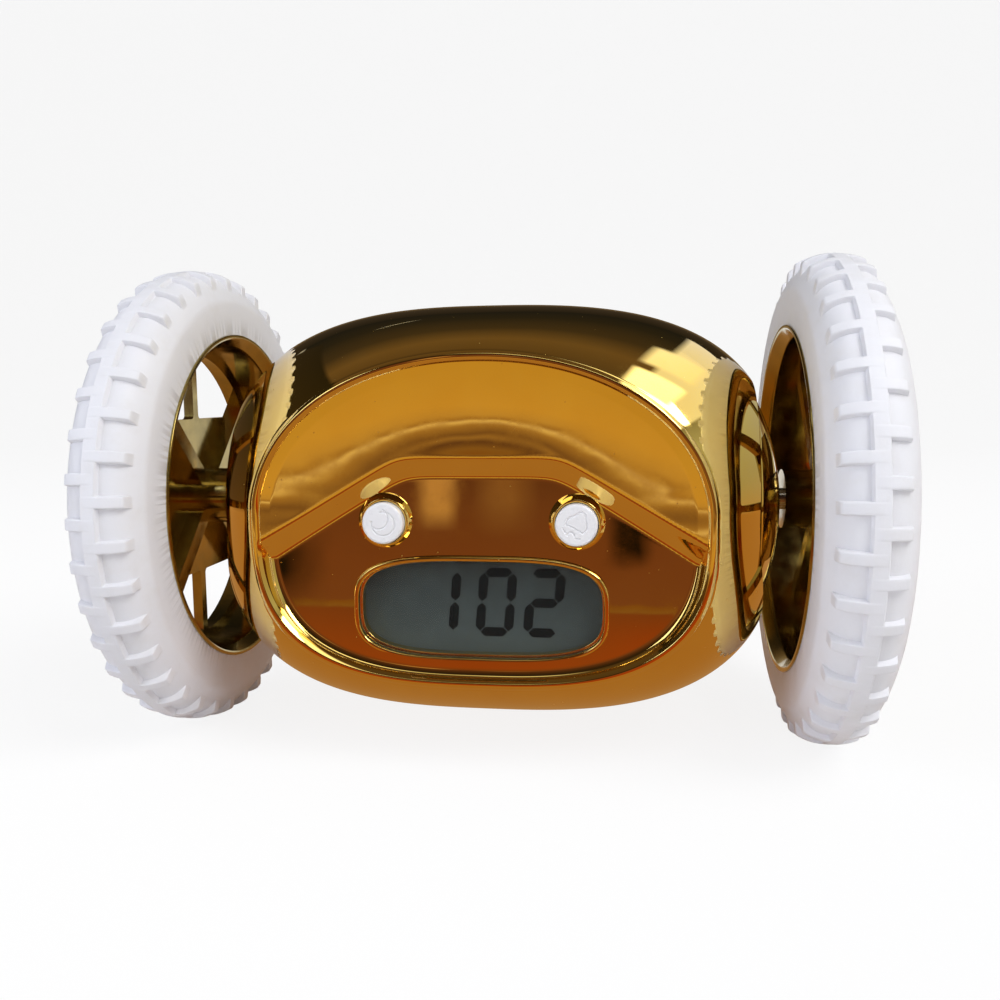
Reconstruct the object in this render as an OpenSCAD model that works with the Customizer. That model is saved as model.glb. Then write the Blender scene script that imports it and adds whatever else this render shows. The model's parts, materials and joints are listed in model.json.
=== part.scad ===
// Runaway alarm clock: a plated plastic body slung between two large soft wheels.
// Each wheel has its own motor and gear train, and the batteries hang low in the
// body, so that it stays upright like a pendulum while the wheels turn.
// Frame: the origin is on the floor under the middle of the axle line,
// +X runs across the wheels, the dial looks along -Y and +Z is up.

/* [Wheels] */
// Wheel diameter over the tread lugs
wheel_d = 89; // [86:0.5:96]
// Distance between the outer faces of the two tyres
track_w = 133.2; // [131:0.2:140]
// Width of one tyre
tyre_w = 13.6; // [13:0.1:15]
// Diameter of the opening inside the tyre
tyre_open_d = 63; // [61:0.5:64]
// Thickness of the tyre's rubber walls
tyre_wall = 2.2; // [1.6:0.1:3]
// Height of the tread lugs
lug_h = 1.3; // [0.8:0.1:1.8]
// Width of one lug along the tread
lug_w = 2.2; // [1.4:0.1:3]
// Number of lugs in each of the two rows
lug_count = 38; // [30:2:44]
// Width of the rib between the rows of lugs
tread_rib_w = 1.8; // [1:0.1:3]

/* [Hubs] */
// Wall thickness of the hub's barrel
hub_wall = 1.5; // [1.2:0.1:2]
// Thickness of the hub's outer web
hub_web_t = 2; // [1.5:0.1:2.6]
// Depth of the web behind the tyre's outer face
hub_web_inset = 2.1; // [1.8:0.1:3]
// Diameter of the boss that holds the axle
hub_boss_d = 11; // [9:0.5:14]
// Distance of the windows' straight edges from the wheel's centre
window_chord = 15.5; // [15:0.1:17]
// Width of the ribs that divide the windows
window_rib = 2; // [1.6:0.1:3]
// Width of the diagonal spokes
spoke_w = 3; // [2:0.1:4]
// Diameter of the cap over the axle's end
hub_cap_d = 12.8; // [10:0.2:16]

/* [Body] */
// Width of the body
body_w = 100; // [98:0.5:102]
// Height of the body
body_h = 75; // [73:0.5:77]
// Depth of the body's full rounded form
body_d = 75; // [74:0.5:77]
// Squareness of the rounded form, where 2 is an ellipsoid
body_n = 2.85; // [2.6:0.05:3.1]
// Drop of the body's centre below the axle
body_drop = 1.25; // [0.5:0.25:2]
// Thickness of the shells
wall = 2; // [1.6:0.1:2.4]
// Diameter of the round opening in each side
side_open_d = 48.4; // [47:0.2:50]
// Thickness of the side caps
cap_wall = 1.8; // [1.4:0.1:2.4]
// Distance of the flat rear panel behind the axle
rear_y = 33.5; // [33:0.1:34]

/* [Dial] */
// Distance of the dial's rim in front of the axle
face_y = 31; // [30.6:0.1:31.4]
// Depth of the dished dial below its rim
dish_depth = 3.5; // [3:0.1:3.8]
// Width of the cove from the rim to the flat of the dial
cove_w = 7; // [5:0.5:8]
// Depth of the brow over the dial below the rim
brow_depth = 1.1; // [0.8:0.1:1.5]
// Height of the brow's straight middle above the axle
brow_z = 9; // [8:0.5:10]
// Length of the brow's straight middle
brow_w = 27; // [24:0.5:30]
// Fall of the brow's two sides, in degrees
brow_fall = 31; // [27:0.5:33]
// Width of the slope from the brow down to the flat of the dial
brow_slope = 2.8; // [2:0.1:3]
// Height of the display's centre below the axle
display_drop = 15.9; // [15:0.1:16.5]
// Width of the display's gold bezel
bezel_w = 43.2; // [42:0.2:44]
// Height of the display's gold bezel
bezel_h = 18.2; // [17:0.2:19]
// Visible width of the bezel's ring
bezel_lip = 0.9; // [0.6:0.1:1.2]
// Height of a digit
digit_h = 11; // [9:0.5:12]
// Thickness of the liquid crystal glass
lcd_t = 2.4; // [2:0.1:2.8]

/* [Front buttons] */
// Diameter of the two front buttons
front_button_d = 7; // [6:0.2:7.6]
// Distance of a front button from the middle
front_button_x = 16.2; // [15.2:0.2:17]
// Height of the front buttons above the axle
front_button_z = -1.3; // [-1.6:0.1:0]
// How far the front buttons stand out of the dial
front_button_out = 1.9; // [1.2:0.1:2.4]

/* [Rear controls] */
// Diameter of the four setting buttons
rear_button_d = 5.2; // [4:0.2:6]
// Distance between neighbouring setting buttons
rear_button_pitch = 12; // [11:0.2:13]
// Height of the setting buttons above the axle
rear_button_z = 9; // [8.5:0.1:9.8]
// How far the setting buttons stand out of the panel
rear_button_out = 1.4; // [1:0.1:2]
// Height of the running switch above the axle
run_switch_z = 2.2; // [1.6:0.1:2.6]
// Travel of the running switch
run_travel = 4; // [3:0.2:5]
// Travel of every push button
press_travel = 0.5; // [0.3:0.05:0.6]

/* [Speaker] */
// Diameter of the speaker
speaker_d = 20; // [16:0.5:21]
// Depth of the speaker
speaker_t = 4.8; // [4:0.1:6]
// Distance of the speaker's centre below the axle
speaker_drop = 12; // [11.8:0.1:12.4]
// Diameter of one sound hole
sound_hole_d = 1.6; // [1:0.1:2.2]

/* [Drive] */
// Gear module
gear_m = 0.5; // [0.48:0.01:0.52]
// Teeth of the wheel gear
output_teeth = 40; // [38:1:42]
// Teeth of the idler's large wheel
idler_teeth = 36; // [34:1:38]
// Teeth of both small pinions
pinion_teeth = 12; // [12:1:13]
// Diameter of the wheel axle
axle_d = 4; // [3.6:0.1:4.4]
// Diameter of the idler's pin
idler_pin_d = 1.5; // [1.2:0.1:1.8]
// Diameter of the motor's shaft
motor_shaft_d = 2; // [1.8:0.1:2.2]
// Length of the motor's can
motor_l = 25; // [22:0.5:27]
// Diameter of the motor's can
motor_d = 20; // [18:0.5:20.5]
// Height of the motor across its flats
motor_flat = 15; // [14:0.25:15.5]
// Distance of the motor's shaft behind the axle
motor_y = 6; // [5:0.25:7]
// Distance of the motor's shaft below the axle
motor_drop = 4; // [3.5:0.1:4.1]

/* [Batteries] */
// Diameter of one cell
cell_d = 10.4; // [10:0.1:10.5]
// Length of one cell without its nub
cell_l = 43.6; // [42:0.2:44]
// Height of the upper cells' centres below the axle
upper_cell_drop = 18.8; // [18.7:0.1:19]
// Thickness of the battery box
box_wall = 1.2; // [1:0.1:1.3]

/* [Boards] */
// Thickness of the circuit boards
board_t = 1.6; // [1:0.1:1.8]
// Distance of the main board's front face from the axle
main_board_y = 19.5; // [19.2:0.1:19.8]
// How far the main board reaches past the display's frame on each side
board_reach = 4.8; // [4.6:0.1:5.4]
// Distance of the rear board's rear face from the axle
rear_board_y = 25.6; // [25.4:0.1:25.8]
// Width of the rear board
rear_board_w = 54; // [53:0.5:56]

/* [Fits] */
// Radial clearance of a turning shaft
run_fit = 0.05; // [0.03:0.01:0.08]
// Clearance of pieces that are pressed or glued together
snug_fit = 0.02; // [0.01:0.01:0.04]
// Clearance round a sliding button or door
slide_gap = 0.15; // [0.12:0.01:0.25]
// Gap between a loose piece and its seat
seat_gap = 0.3; // [0.2:0.05:0.35]
// Thinning of each gear tooth for backlash
backlash = 0.1; // [0.06:0.01:0.14]

/* [Hidden] */

// Round parts are drawn with this many sides and kept as true cylinders.
$fn = 48;
// A little extra length so that cuts pass cleanly through.
eps = 0.1;

// Colours as the object shows them.
gold = [0.86, 0.66, 0.22];
white_rubber = [0.92, 0.92, 0.94];
white_plastic = [0.93, 0.93, 0.95];
dark_plastic = [0.16, 0.16, 0.17];
board_green = [0.10, 0.36, 0.20];
steel = [0.72, 0.73, 0.75];
nylon = [0.95, 0.93, 0.85];
lcd_ground = [0.27, 0.31, 0.33];

// Wheels, measured from the axle line.
wheel_r = wheel_d / 2;
axle_h = wheel_r;
tyre_out = track_w / 2;
tyre_in = tyre_out - tyre_w;
tyre_mid = (tyre_in + tyre_out) / 2;
tyre_open_r = tyre_open_d / 2;
tread_r = wheel_r - lug_h;
shoulder_drop = 1.4;
lug_pitch = 360 / lug_count;
lug_root = 1.2;
inner_lug_start = tyre_in + 0.9;
outer_lug_end = tyre_out - 1.7;
tread_rib_drop = 0.3;
flange_t = 0.4;
flange_lap = 1;
rim_recess = 0.5;
hub_r = tyre_open_r - 0.2;
hub_out = tyre_out - rim_recess;
web_out = tyre_out - hub_web_inset;
web_in = web_out - hub_web_t;
window_r = hub_r - hub_wall - 1.3;
hub_boss_r = hub_boss_d / 2;
spoke_depth = 3;
hub_cap_t = 1.4;

// Body form: |x/a|^n + |y/c|^n + |z/b|^n = 1 about its own centre.
body_a = body_w / 2;
body_b = body_h / 2;
body_c = body_d / 2;
body_z = -body_drop;
inner_a = body_a - wall;
inner_b = body_b - wall;
inner_c = body_c - wall;
skin_seg = 64;
outer_steps = 10;
inner_steps = 8;
side_open_r = side_open_d / 2;

// Dial and walls.
floor_y = -(face_y - dish_depth);
front_in_y = floor_y + wall;
rear_in_y = rear_y - wall;
rim_round = 0.5;
rim_lip = 1.3;
rim_step = 0.6;
rim_inset = 1.7;
cove_steps = 5;
brow_lap = 0.3;
column_steps = 12;
collar_w = 0.45;
collar_out = 0.4;

// Side caps turn about the body's axis; the axle passes a little above it.
cap_r = side_open_r - 0.4;
cap_flange_r = cap_r + 1.7;
cap_flange_t = 1.2;
cap_base = skin_x(side_open_r) - 1;
cap_top = tyre_in - flange_t - 0.3;
cap_rise = cap_top - cap_base;
cap_steps = 12;
cap_flange_out = inner_x(cap_flange_r) - seat_gap;
cap_flange_in = cap_flange_out - cap_flange_t;

// Axial stack of the gear train, from the cap inwards.
stage_gap = 0.4;
wheel_face = 1.8;
output_face = 2.2;
frame_t = 1.4;
idler_out = cap_flange_in - 0.7;
idler_in = idler_out - wheel_face;
frame_out = idler_in - stage_gap;
frame_in = frame_out - frame_t;
motor_out = frame_in - 0.1;
motor_in = motor_out - motor_l;
output_in = idler_out + stage_gap;
output_out = output_in + output_face;
bearing_in = output_out + stage_gap;
bearing_r = axle_d / 2 + 2.2;
axle_in = output_in - seat_gap;
axle_out = web_out - 0.5;
idler_pin_out = output_out + 0.5;
motor_boss_r = 3;
motor_boss_l = frame_t;
shaft_depth = 3;

// Gear sizes and centres. The idler sits where both centre distances meet.
pressure_angle = 20;
pinion_add = gear_m;
wheel_add = 0.75 * gear_m;
dedendum = 1.25 * gear_m;
flank_steps = 4;
first_distance = gear_m * (output_teeth + pinion_teeth) / 2;
second_distance = gear_m * (idler_teeth + pinion_teeth) / 2;
motor_z = -motor_drop;
motor_reach = norm([motor_y, motor_z]);
along_reach = (first_distance * first_distance + motor_reach * motor_reach
    - second_distance * second_distance) / (2 * motor_reach);
across_reach = sqrt(first_distance * first_distance - along_reach * along_reach);
idler_y = (along_reach * motor_y - across_reach * motor_z) / motor_reach;
idler_z = (along_reach * motor_z + across_reach * motor_y) / motor_reach;
first_angle = atan2(idler_z, idler_y);
second_angle = atan2(motor_z - idler_z, motor_y - idler_y);

// Gear frame: a disc with three arms that reach the cap's flange.
frame_r = 17;
arm_w = 5;
arm_angles = [100, 215, 325];
pillar_r = 1.6;
pillar_reach = cap_flange_r - 2.3;

// Case screws: two above, two below.
column_r = 3.4;
upper_column = [21, 24.5];
screw_r = 1.25;
screw_head_r = 2.4;
screw_head_h = 1.8;
screw_seat_y = 6;
screw_reach = 9;

// Display, from the dial's flat backwards.
display_z = -display_drop;
bezel_n = 3.4;
bezel_out = 1.5;
sleeve_inset = 0.5;
window_t = 1.2;
window_ledge = 0.8;
lens_y = floor_y - bezel_out + 0.5;
sleeve_y = front_in_y + 0.1;
lcd_w = bezel_w + 1;
lcd_h = bezel_h + 1;
lcd_y = sleeve_y + 0.1;
frame_rim = 1.4;
lcd_ledge = 1;
board_front_y = -main_board_y;
board_back_y = board_front_y + board_t;
strip_t = 2;
segment_t = 0.08;
segment_w = 1.5;
segment_gap = 0.25;
digit_w = 6.4;
digit_slant = 5;
digit_step = 8.2;
digit_x = 10.6;

// Main board and its posts. The lower screw columns stand just outside it.
main_board_w = lcd_w + 2 * (frame_rim + board_reach);
lower_column = [main_board_w / 2 + column_r + 0.4, -25];
main_board_top = 11.2;
main_board_bottom = -25;
post_r = 2.1;
front_post_x = main_board_w / 2 - 2.3;
front_post_z = [-21.5, 8];
board_screw_r = 0.95;
board_screw_head_r = 1.8;
board_screw_head_h = 1.2;
board_screw_reach = 4;
chip = [12, 2, 12];
chip_z = -8;
crystal = [3, 3, 8];
crystal_at = [-12.5, -4];
driver_chip = [10, 1.6, 4];
driver_chip_at = [-15, 5];
capacitor_r = 3.2;
capacitor_l = 7;
capacitor_at = [14, 4];
coil_r = 2;
coil_l = 4;
coil_at = [4, 5];

// Push switches and buttons.
switch_w = 6;
switch_h = 3.5;
plunger_r = 1.6;
plunger_out = 1;
plunger_in = 1;
button_flange = 0.7;
button_flange_t = 0.6;
front_button_r = front_button_d / 2;
rear_button_r = rear_button_d / 2;
rear_tip_y = rear_board_y + switch_h + plunger_out;
front_tip_y = board_front_y - switch_h - plunger_out;
rear_button_x = [for (i = [0:3]) (i - 1.5) * rear_button_pitch];

// Rear board, running switch and speaker.
rear_board_front = rear_board_y - board_t;
rear_board_top = 15;
rear_board_bottom = -1;
rear_post_x = rear_board_w / 2 - 2.8;
rear_post_z = [1.6, 12.4];
run_body = [10, 4, 5];
run_knob_w = 2.4;
run_knob_h = 2;
run_knob_out = 1.5;
run_knob_depth = 1.2;
speaker_z = -speaker_drop;
speaker_r = speaker_d / 2;
speaker_back_y = rear_in_y - seat_gap;
speaker_ring = 1.2;
sound_ring_step = 3.4;

// Battery box: two cells over two, loaded from below.
cell_r = cell_d / 2;
cell_gap = 0.2;
cell_y = cell_r + cell_gap;
upper_cell_z = -upper_cell_drop;
lower_cell_z = upper_cell_z - cell_d - cell_gap;
nub_r = 1.9;
nub_l = 0.8;
contact_t = 0.4;
contact_r = 3.2;
contact_gap = 0.1;
box_in_x = cell_l / 2 + nub_l + contact_gap + contact_t + 0.9;
box_in_y = 2 * cell_y + 0.2;
box_top_z = upper_cell_z + cell_r + cell_gap;
box_out_x = box_in_x + box_wall;
box_out_y = box_in_y + box_wall;
box_bottom_z = body_z - inner_b * pow(1 - pow(box_out_x / inner_a, body_n)
    - pow(box_out_y / inner_c, body_n), 1 / body_n) + seat_gap;
door_x = box_in_x + 0.4;
door_y = box_in_y + 0.6;
door_cut_top = box_bottom_z + 2.5;
tab_w = 8;
tab_reach = 5.8;
door_screw_x = box_out_x + 2.4;
door_boss_r = 2.4;
door_boss_h = 3.9;
door_boss_z = body_z - inner_b * pow(1 - pow((door_screw_x + door_boss_r) / inner_a, body_n),
    1 / body_n) + seat_gap;
door_screw_r = 1;
door_head_r = 1.9;
door_head_h = 1.2;
door_skin_z = body_z - body_b * pow(1 - pow((door_screw_x + door_head_r) / body_a, body_n),
    1 / body_n);

// Radius-wise positions of the outer and inner skin along X.
function skin_x(r) = body_a * pow(1 - pow(r / body_c, body_n), 1 / body_n);
function inner_x(r) = inner_a * pow(1 - pow(r / inner_c, body_n), 1 / body_n);
// Points of a rounded rectangle that follows |x/a|^n + |y/b|^n = 1.
function superloop(a, b, n, seg) = [for (i = [0:seg - 1]) let (t = 360 * i / seg)
    [a * sign(cos(t)) * pow(abs(cos(t)), 2 / n), b * sign(sin(t)) * pow(abs(sin(t)), 2 / n)]];
function ring(a, b, y) = [for (p = superloop(a, b, body_n, skin_seg)) [p.x, y, p.y + body_z]];
function skin_scale(y, c) = pow(max(0, 1 - pow(abs(y) / c, body_n)), 1 / body_n);
function outer_ring(y) = ring(body_a * skin_scale(y, body_c), body_b * skin_scale(y, body_c), y);
function mid_ring(y) = ring((body_a - wall / 2) * skin_scale(y, body_c - wall / 2),
    (body_b - wall / 2) * skin_scale(y, body_c - wall / 2), y);
function inner_ring(y) = ring(inner_a * skin_scale(y, inner_c), inner_b * skin_scale(y, inner_c), y);

// A closed skin through a stack of rings, flat at both ends.
module skin_stack(rings) {
    seg = len(rings[0]);
    last = (len(rings) - 1) * seg;
    polyhedron(
        points = [for (r = rings) each r],
        faces = concat(
            [[for (i = [seg - 1:-1:0]) i]],
            [for (k = [0:len(rings) - 2]) for (i = [0:seg - 1]) let (j = (i + 1) % seg)
                each [[k * seg + i, k * seg + j, (k + 1) * seg + j],
                    [k * seg + i, (k + 1) * seg + j, (k + 1) * seg + i]]],
            [[for (i = [0:seg - 1]) last + i]]));
}

module in_frame() translate([0, 0, axle_h]) children();

// The right side is drawn; the left is its mirror image.
module on_side(right) {
    in_frame() {
        if (right) children();
        else mirror([1, 0, 0]) children();
    }
}

// Extrusion along X of an outline in the YZ plane.
module along_x(x0, x1) translate([x0, 0, 0]) rotate([90, 0, 90]) linear_extrude(x1 - x0) children();
// Extrusion along Y of an outline in the XZ plane.
module along_y(y0, y1) translate([0, y1, 0]) rotate([90, 0, 0]) linear_extrude(y1 - y0) children();
// Round bars along each axis, from the first coordinate to the second.
module bar_x(r, x0, x1) translate([x0, 0, 0]) rotate([0, 90, 0]) cylinder(r = r, h = x1 - x0);
module bar_y(r, y0, y1) translate([0, y1, 0]) rotate([90, 0, 0]) cylinder(r = r, h = y1 - y0);
// A box between two corners.
module box(low, high) translate(low) cube(high - low);
module both_sides() {
    children();
    mirror([1, 0, 0]) children();
}
module oval(w, h, n) polygon(superloop(w / 2, h / 2, n, 48));

// Body shells.
rim_a = body_a * skin_scale(face_y - rim_round, body_c);
rim_b = body_b * skin_scale(face_y - rim_round, body_c);
function dish_ring(inset, depth) = ring(rim_a - inset, rim_b - inset, -face_y + depth);
function front_rings() = concat(
    [for (i = [cove_steps:-1:0]) let (t = 90 * i / cove_steps)
        dish_ring(rim_inset + cove_w * (1 - cos(t)), rim_step + (dish_depth - rim_step) * sin(t))],
    [dish_ring(rim_lip, 0.1), dish_ring(rim_round, 0)],
    [for (i = [0:outer_steps]) outer_ring(-(face_y - rim_round) * cos(90 * i / outer_steps))],
    [for (i = [0:inner_steps]) inner_ring(front_in_y * sin(90 * i / inner_steps))]);
rear_a = body_a * skin_scale(rear_y - 0.8, body_c);
rear_b = body_b * skin_scale(rear_y - 0.8, body_c);
function rear_rings() = concat(
    [ring(rear_a - 1.8, rear_b - 1.8, -rear_y), ring(rear_a - 0.5, rear_b - 0.5, -rear_y + 0.3)],
    [for (i = [0:outer_steps]) outer_ring(-(rear_y - 0.8) * cos(90 * i / outer_steps))],
    [for (i = [0:inner_steps]) inner_ring(-rear_in_y * sin(90 * i / inner_steps))]);

// Outline of the battery door in plan, with a tab for its screw.
module door_plan(gap) {
    square([2 * (door_x + gap), 2 * (door_y + gap)], center = true);
    translate([door_x, 0]) square([2 * (tab_reach + gap), tab_w + 2 * gap], center = true);
}
module door_prism(gap) translate([0, 0, -body_b - body_drop - 1])
    linear_extrude(door_cut_top + body_b + body_drop + 1) door_plan(gap);

module side_openings() translate([0, 0, body_z]) both_sides()
    bar_x(side_open_r, cap_flange_in, body_a + 1);

// Columns for the case screws, cut off in the middle of the shell's wall.
module screw_columns(y0, y1) intersection() {
    for (p = [upper_column, lower_column]) both_sides()
        translate([p.x, 0, p.y]) bar_y(column_r, y0, y1);
    skin_stack([for (i = [0:column_steps]) mid_ring(y0 - eps + (y1 - y0 + 2 * eps) * i / column_steps)]);
}

// The brow is a crescent that the recess of the dial's flat leaves standing.
function recess_ring(in, y) = let (
    x = brow_w / 2 - in * tan(brow_fall / 2), z = brow_z - in, low = z - (body_a - x) * tan(brow_fall))
    [for (p = [[body_a, low], [x, z], [-x, z], [-body_a, low], [-body_a, -body_b], [body_a, -body_b]])
        [p.x, y, p.y]];
module brow() difference() {
    skin_stack([for (y = [brow_depth, dish_depth + eps]) dish_ring(rim_inset - brow_lap, y)]);
    skin_stack([recess_ring(0, -face_y), recess_ring(0, -face_y + brow_depth),
        recess_ring(brow_slope, floor_y), recess_ring(brow_slope, floor_y + 2 * eps)]);
}

module front_shell() color(gold) in_frame() difference() {
    union() {
        skin_stack(front_rings());
        brow();
        screw_columns(front_in_y - wall / 2, 0);
        for (z = front_post_z) both_sides() translate([front_post_x, 0, z])
            bar_y(post_r, front_in_y - wall / 2, board_front_y);
        both_sides() translate([front_button_x, 0, front_button_z])
            bar_y(front_button_r + slide_gap + collar_w, floor_y - collar_out, floor_y + wall / 2);
    }
    side_openings();
    door_prism(slide_gap);
    translate([0, 0, display_z]) {
        along_y(-face_y - 1, floor_y) oval(bezel_w + 2 * snug_fit, bezel_h + 2 * snug_fit, bezel_n);
        along_y(-face_y - 1, 0) oval(bezel_w - 2 * sleeve_inset + 2 * snug_fit,
            bezel_h - 2 * sleeve_inset + 2 * snug_fit, bezel_n);
    }
    both_sides() translate([front_button_x, 0, front_button_z])
        bar_y(front_button_r + slide_gap, -face_y, 0);
    for (p = [upper_column, lower_column]) both_sides() translate([p.x, 0, p.y])
        bar_y(screw_r + snug_fit, -screw_reach - 1, eps);
    for (z = front_post_z) both_sides() translate([front_post_x, 0, z])
        bar_y(board_screw_r + snug_fit, board_front_y - board_screw_reach, board_front_y + eps);
}

module sound_holes() {
    bar_y(sound_hole_d / 2, rear_in_y - eps, rear_y + eps);
    for (k = [1:2]) for (i = [0:6 * k - 1]) rotate([0, 60 * i / k, 0])
        translate([k * sound_ring_step, 0, 0]) bar_y(sound_hole_d / 2, rear_in_y - eps, rear_y + eps);
}

module rear_shell() color(gold) in_frame() difference() {
    union() {
        mirror([0, 1, 0]) skin_stack(rear_rings());
        screw_columns(0, rear_in_y + wall / 2);
        for (z = rear_post_z) both_sides() translate([rear_post_x, 0, z])
            bar_y(post_r, rear_board_y, rear_in_y + wall / 2);
        translate([0, 0, speaker_z]) difference() {
            bar_y(speaker_r + snug_fit + speaker_ring, rear_in_y - speaker_t, rear_in_y + wall / 2);
            bar_y(speaker_r + snug_fit, rear_in_y - speaker_t - eps, rear_in_y);
        }
    }
    side_openings();
    door_prism(slide_gap);
    for (x = rear_button_x) translate([x, 0, rear_button_z])
        bar_y(rear_button_r + slide_gap, rear_in_y - eps, rear_y + eps);
    translate([0, 0, run_switch_z]) box(
        [-(run_knob_w + run_travel) / 2 - slide_gap, rear_in_y - eps, -run_knob_h / 2 - slide_gap],
        [(run_knob_w + run_travel) / 2 + slide_gap, rear_y + eps, run_knob_h / 2 + slide_gap]);
    translate([0, 0, speaker_z]) sound_holes();
    for (p = [upper_column, lower_column]) both_sides() translate([p.x, 0, p.y]) {
        bar_y(screw_r + slide_gap, -eps, body_c);
        bar_y(screw_head_r + slide_gap, screw_seat_y, body_c);
    }
    for (z = rear_post_z) both_sides() translate([rear_post_x, 0, z])
        bar_y(board_screw_r + snug_fit, rear_board_y - eps, rear_board_y + board_screw_reach);
}

// Side caps: a domed cover on a ring with a retaining flange.
function cap_x(r) = cap_base + cap_rise * pow(1 - pow(r / cap_r, 2), 0.85);
module side_cap(right) color(gold) on_side(right) difference() {
    union() {
        translate([0, 0, body_z]) rotate([0, 90, 0]) rotate_extrude() polygon(concat(
            [[cap_r - cap_wall, cap_flange_in], [cap_flange_r, cap_flange_in],
                [cap_flange_r, cap_flange_out], [cap_r, cap_flange_out]],
            [for (i = [cap_steps:-1:0]) let (r = cap_r * sin(90 * i / cap_steps)) [r, cap_x(r)]],
            [for (i = [0:cap_steps - 2]) let (r = (cap_r - cap_wall) * sin(90 * i / (cap_steps - 1)))
                [r, cap_x(r) - cap_wall]],
            [[cap_r - cap_wall, cap_base - cap_wall]]));
        bar_x(bearing_r, bearing_in, cap_x(bearing_r) - cap_wall / 2);
    }
    bar_x(axle_d / 2 + run_fit, bearing_in - eps, cap_top + eps);
}

// Display.
module display_bezel() color(gold) in_frame() translate([0, 0, display_z]) difference() {
    union() {
        along_y(floor_y - bezel_out, floor_y) oval(bezel_w, bezel_h, bezel_n);
        along_y(floor_y - eps, sleeve_y)
            oval(bezel_w - 2 * sleeve_inset, bezel_h - 2 * sleeve_inset, bezel_n);
    }
    along_y(floor_y - bezel_out - eps, lens_y + window_t)
        oval(bezel_w - 2 * bezel_lip, bezel_h - 2 * bezel_lip, bezel_n);
    along_y(floor_y - bezel_out - eps, sleeve_y + eps)
        oval(bezel_w - 2 * (bezel_lip + window_ledge), bezel_h - 2 * (bezel_lip + window_ledge), bezel_n);
}

module display_window() color([0.8, 0.85, 0.88, 0.4]) in_frame() translate([0, 0, display_z])
    along_y(lens_y, lens_y + window_t - snug_fit)
        oval(bezel_w - 2 * bezel_lip - 2 * snug_fit, bezel_h - 2 * bezel_lip - 2 * snug_fit, bezel_n);

module lcd_panel() color(lcd_ground) in_frame() translate([0, 0, display_z])
    box([-lcd_w / 2, lcd_y, -lcd_h / 2], [lcd_w / 2, lcd_y + lcd_t, lcd_h / 2]);

// Seven-segment digits: a bar is a stretched hexagon, leaned to the right.
function lean(p) = [p.x + p.y * tan(digit_slant), p.y];
module segment(from, to) {
    d = (to - from) / norm(to - from);
    n = [-d.y, d.x] * segment_w / 2;
    a = from + d * segment_gap;
    b = to - d * segment_gap;
    m = d * segment_w / 2;
    polygon([for (p = [a, a + m + n, b - m + n, b, b - m - n, a + m - n]) lean(p)]);
}
// Segments run from the top clockwise, with the middle bar last.
module digit(lit) {
    w = (digit_w - segment_w) / 2;
    h = (digit_h - segment_w) / 2;
    ends = [[[-w, h], [w, h]], [[w, h], [w, 0]], [[w, 0], [w, -h]], [[w, -h], [-w, -h]],
        [[-w, -h], [-w, 0]], [[-w, 0], [-w, h]], [[-w, 0], [w, 0]]];
    for (i = lit) segment(ends[i][0], ends[i][1]);
}
module lcd_segments() color([0.05, 0.06, 0.06]) in_frame() translate([0, 0, display_z + 0.7])
    along_y(lcd_y - segment_t, lcd_y) {
        translate([digit_x - 2 * digit_step, 0]) digit([1, 2]);
        translate([digit_x - digit_step, 0]) digit([0, 1, 2, 3, 4, 5]);
        translate([digit_x, 0]) digit([0, 1, 6, 4, 3]);
    }

module lcd_frame() color(dark_plastic) in_frame() translate([0, 0, display_z]) difference() {
    box([-lcd_w / 2 - frame_rim, lcd_y, -lcd_h / 2 - frame_rim],
        [lcd_w / 2 + frame_rim, board_front_y, lcd_h / 2 + frame_rim]);
    box([-lcd_w / 2 - snug_fit, lcd_y - eps, -lcd_h / 2 - snug_fit],
        [lcd_w / 2 + snug_fit, lcd_y + lcd_t, lcd_h / 2 + snug_fit]);
    box([-lcd_w / 2 + lcd_ledge, lcd_y, -lcd_h / 2 + lcd_ledge],
        [lcd_w / 2 - lcd_ledge, board_front_y + eps, lcd_h / 2 - lcd_ledge]);
    both_sides() translate([front_button_x, 0, front_button_z - display_z])
        bar_y(front_button_r + button_flange + seat_gap, lcd_y - eps,
            front_in_y + seat_gap + button_flange_t + press_travel + seat_gap);
}

module contact_strips() color("pink") in_frame() translate([0, 0, display_z])
    for (side = [-1, 1]) translate([0, 0, side * (lcd_h / 2 - lcd_ledge - strip_t / 2 - snug_fit)])
        box([-lcd_w / 2 + 2, lcd_y + lcd_t, -strip_t / 2], [lcd_w / 2 - 2, board_front_y, strip_t / 2]);

// Main board with its chip, crystal, coil and capacitor on the back.
module main_board() color(board_green) in_frame() difference() {
    box([-main_board_w / 2, board_front_y, main_board_bottom],
        [main_board_w / 2, board_back_y, main_board_top]);
    for (z = front_post_z) both_sides() translate([front_post_x, 0, z])
        bar_y(board_screw_r + snug_fit, board_front_y - eps, board_back_y + eps);
}

module on_board(size, at) box([at.x - size.x / 2, board_back_y, at.y - size.z / 2],
    [at.x + size.x / 2, board_back_y + size.y, at.y + size.z / 2]);
module board_parts() color(dark_plastic) in_frame() {
    on_board(chip, [0, chip_z]);
    on_board(crystal, crystal_at);
    on_board(driver_chip, driver_chip_at);
    translate([capacitor_at.x, 0, capacitor_at.y]) bar_y(capacitor_r, board_back_y, board_back_y + capacitor_l);
    translate([coil_at.x, 0, coil_at.y]) bar_y(coil_r, board_back_y, board_back_y + coil_l);
}

// One push switch on a board whose face is at y = 0, pressed along +Y.
module push_switch(hole) difference() {
    box([-switch_w / 2, -switch_h, -switch_w / 2], [switch_w / 2, 0, switch_w / 2]);
    bar_y(plunger_r + hole, -switch_h - eps, -switch_h + plunger_in + press_travel + 0.2);
}
module plunger() bar_y(plunger_r, -switch_h - plunger_out, -switch_h + plunger_in);

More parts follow.
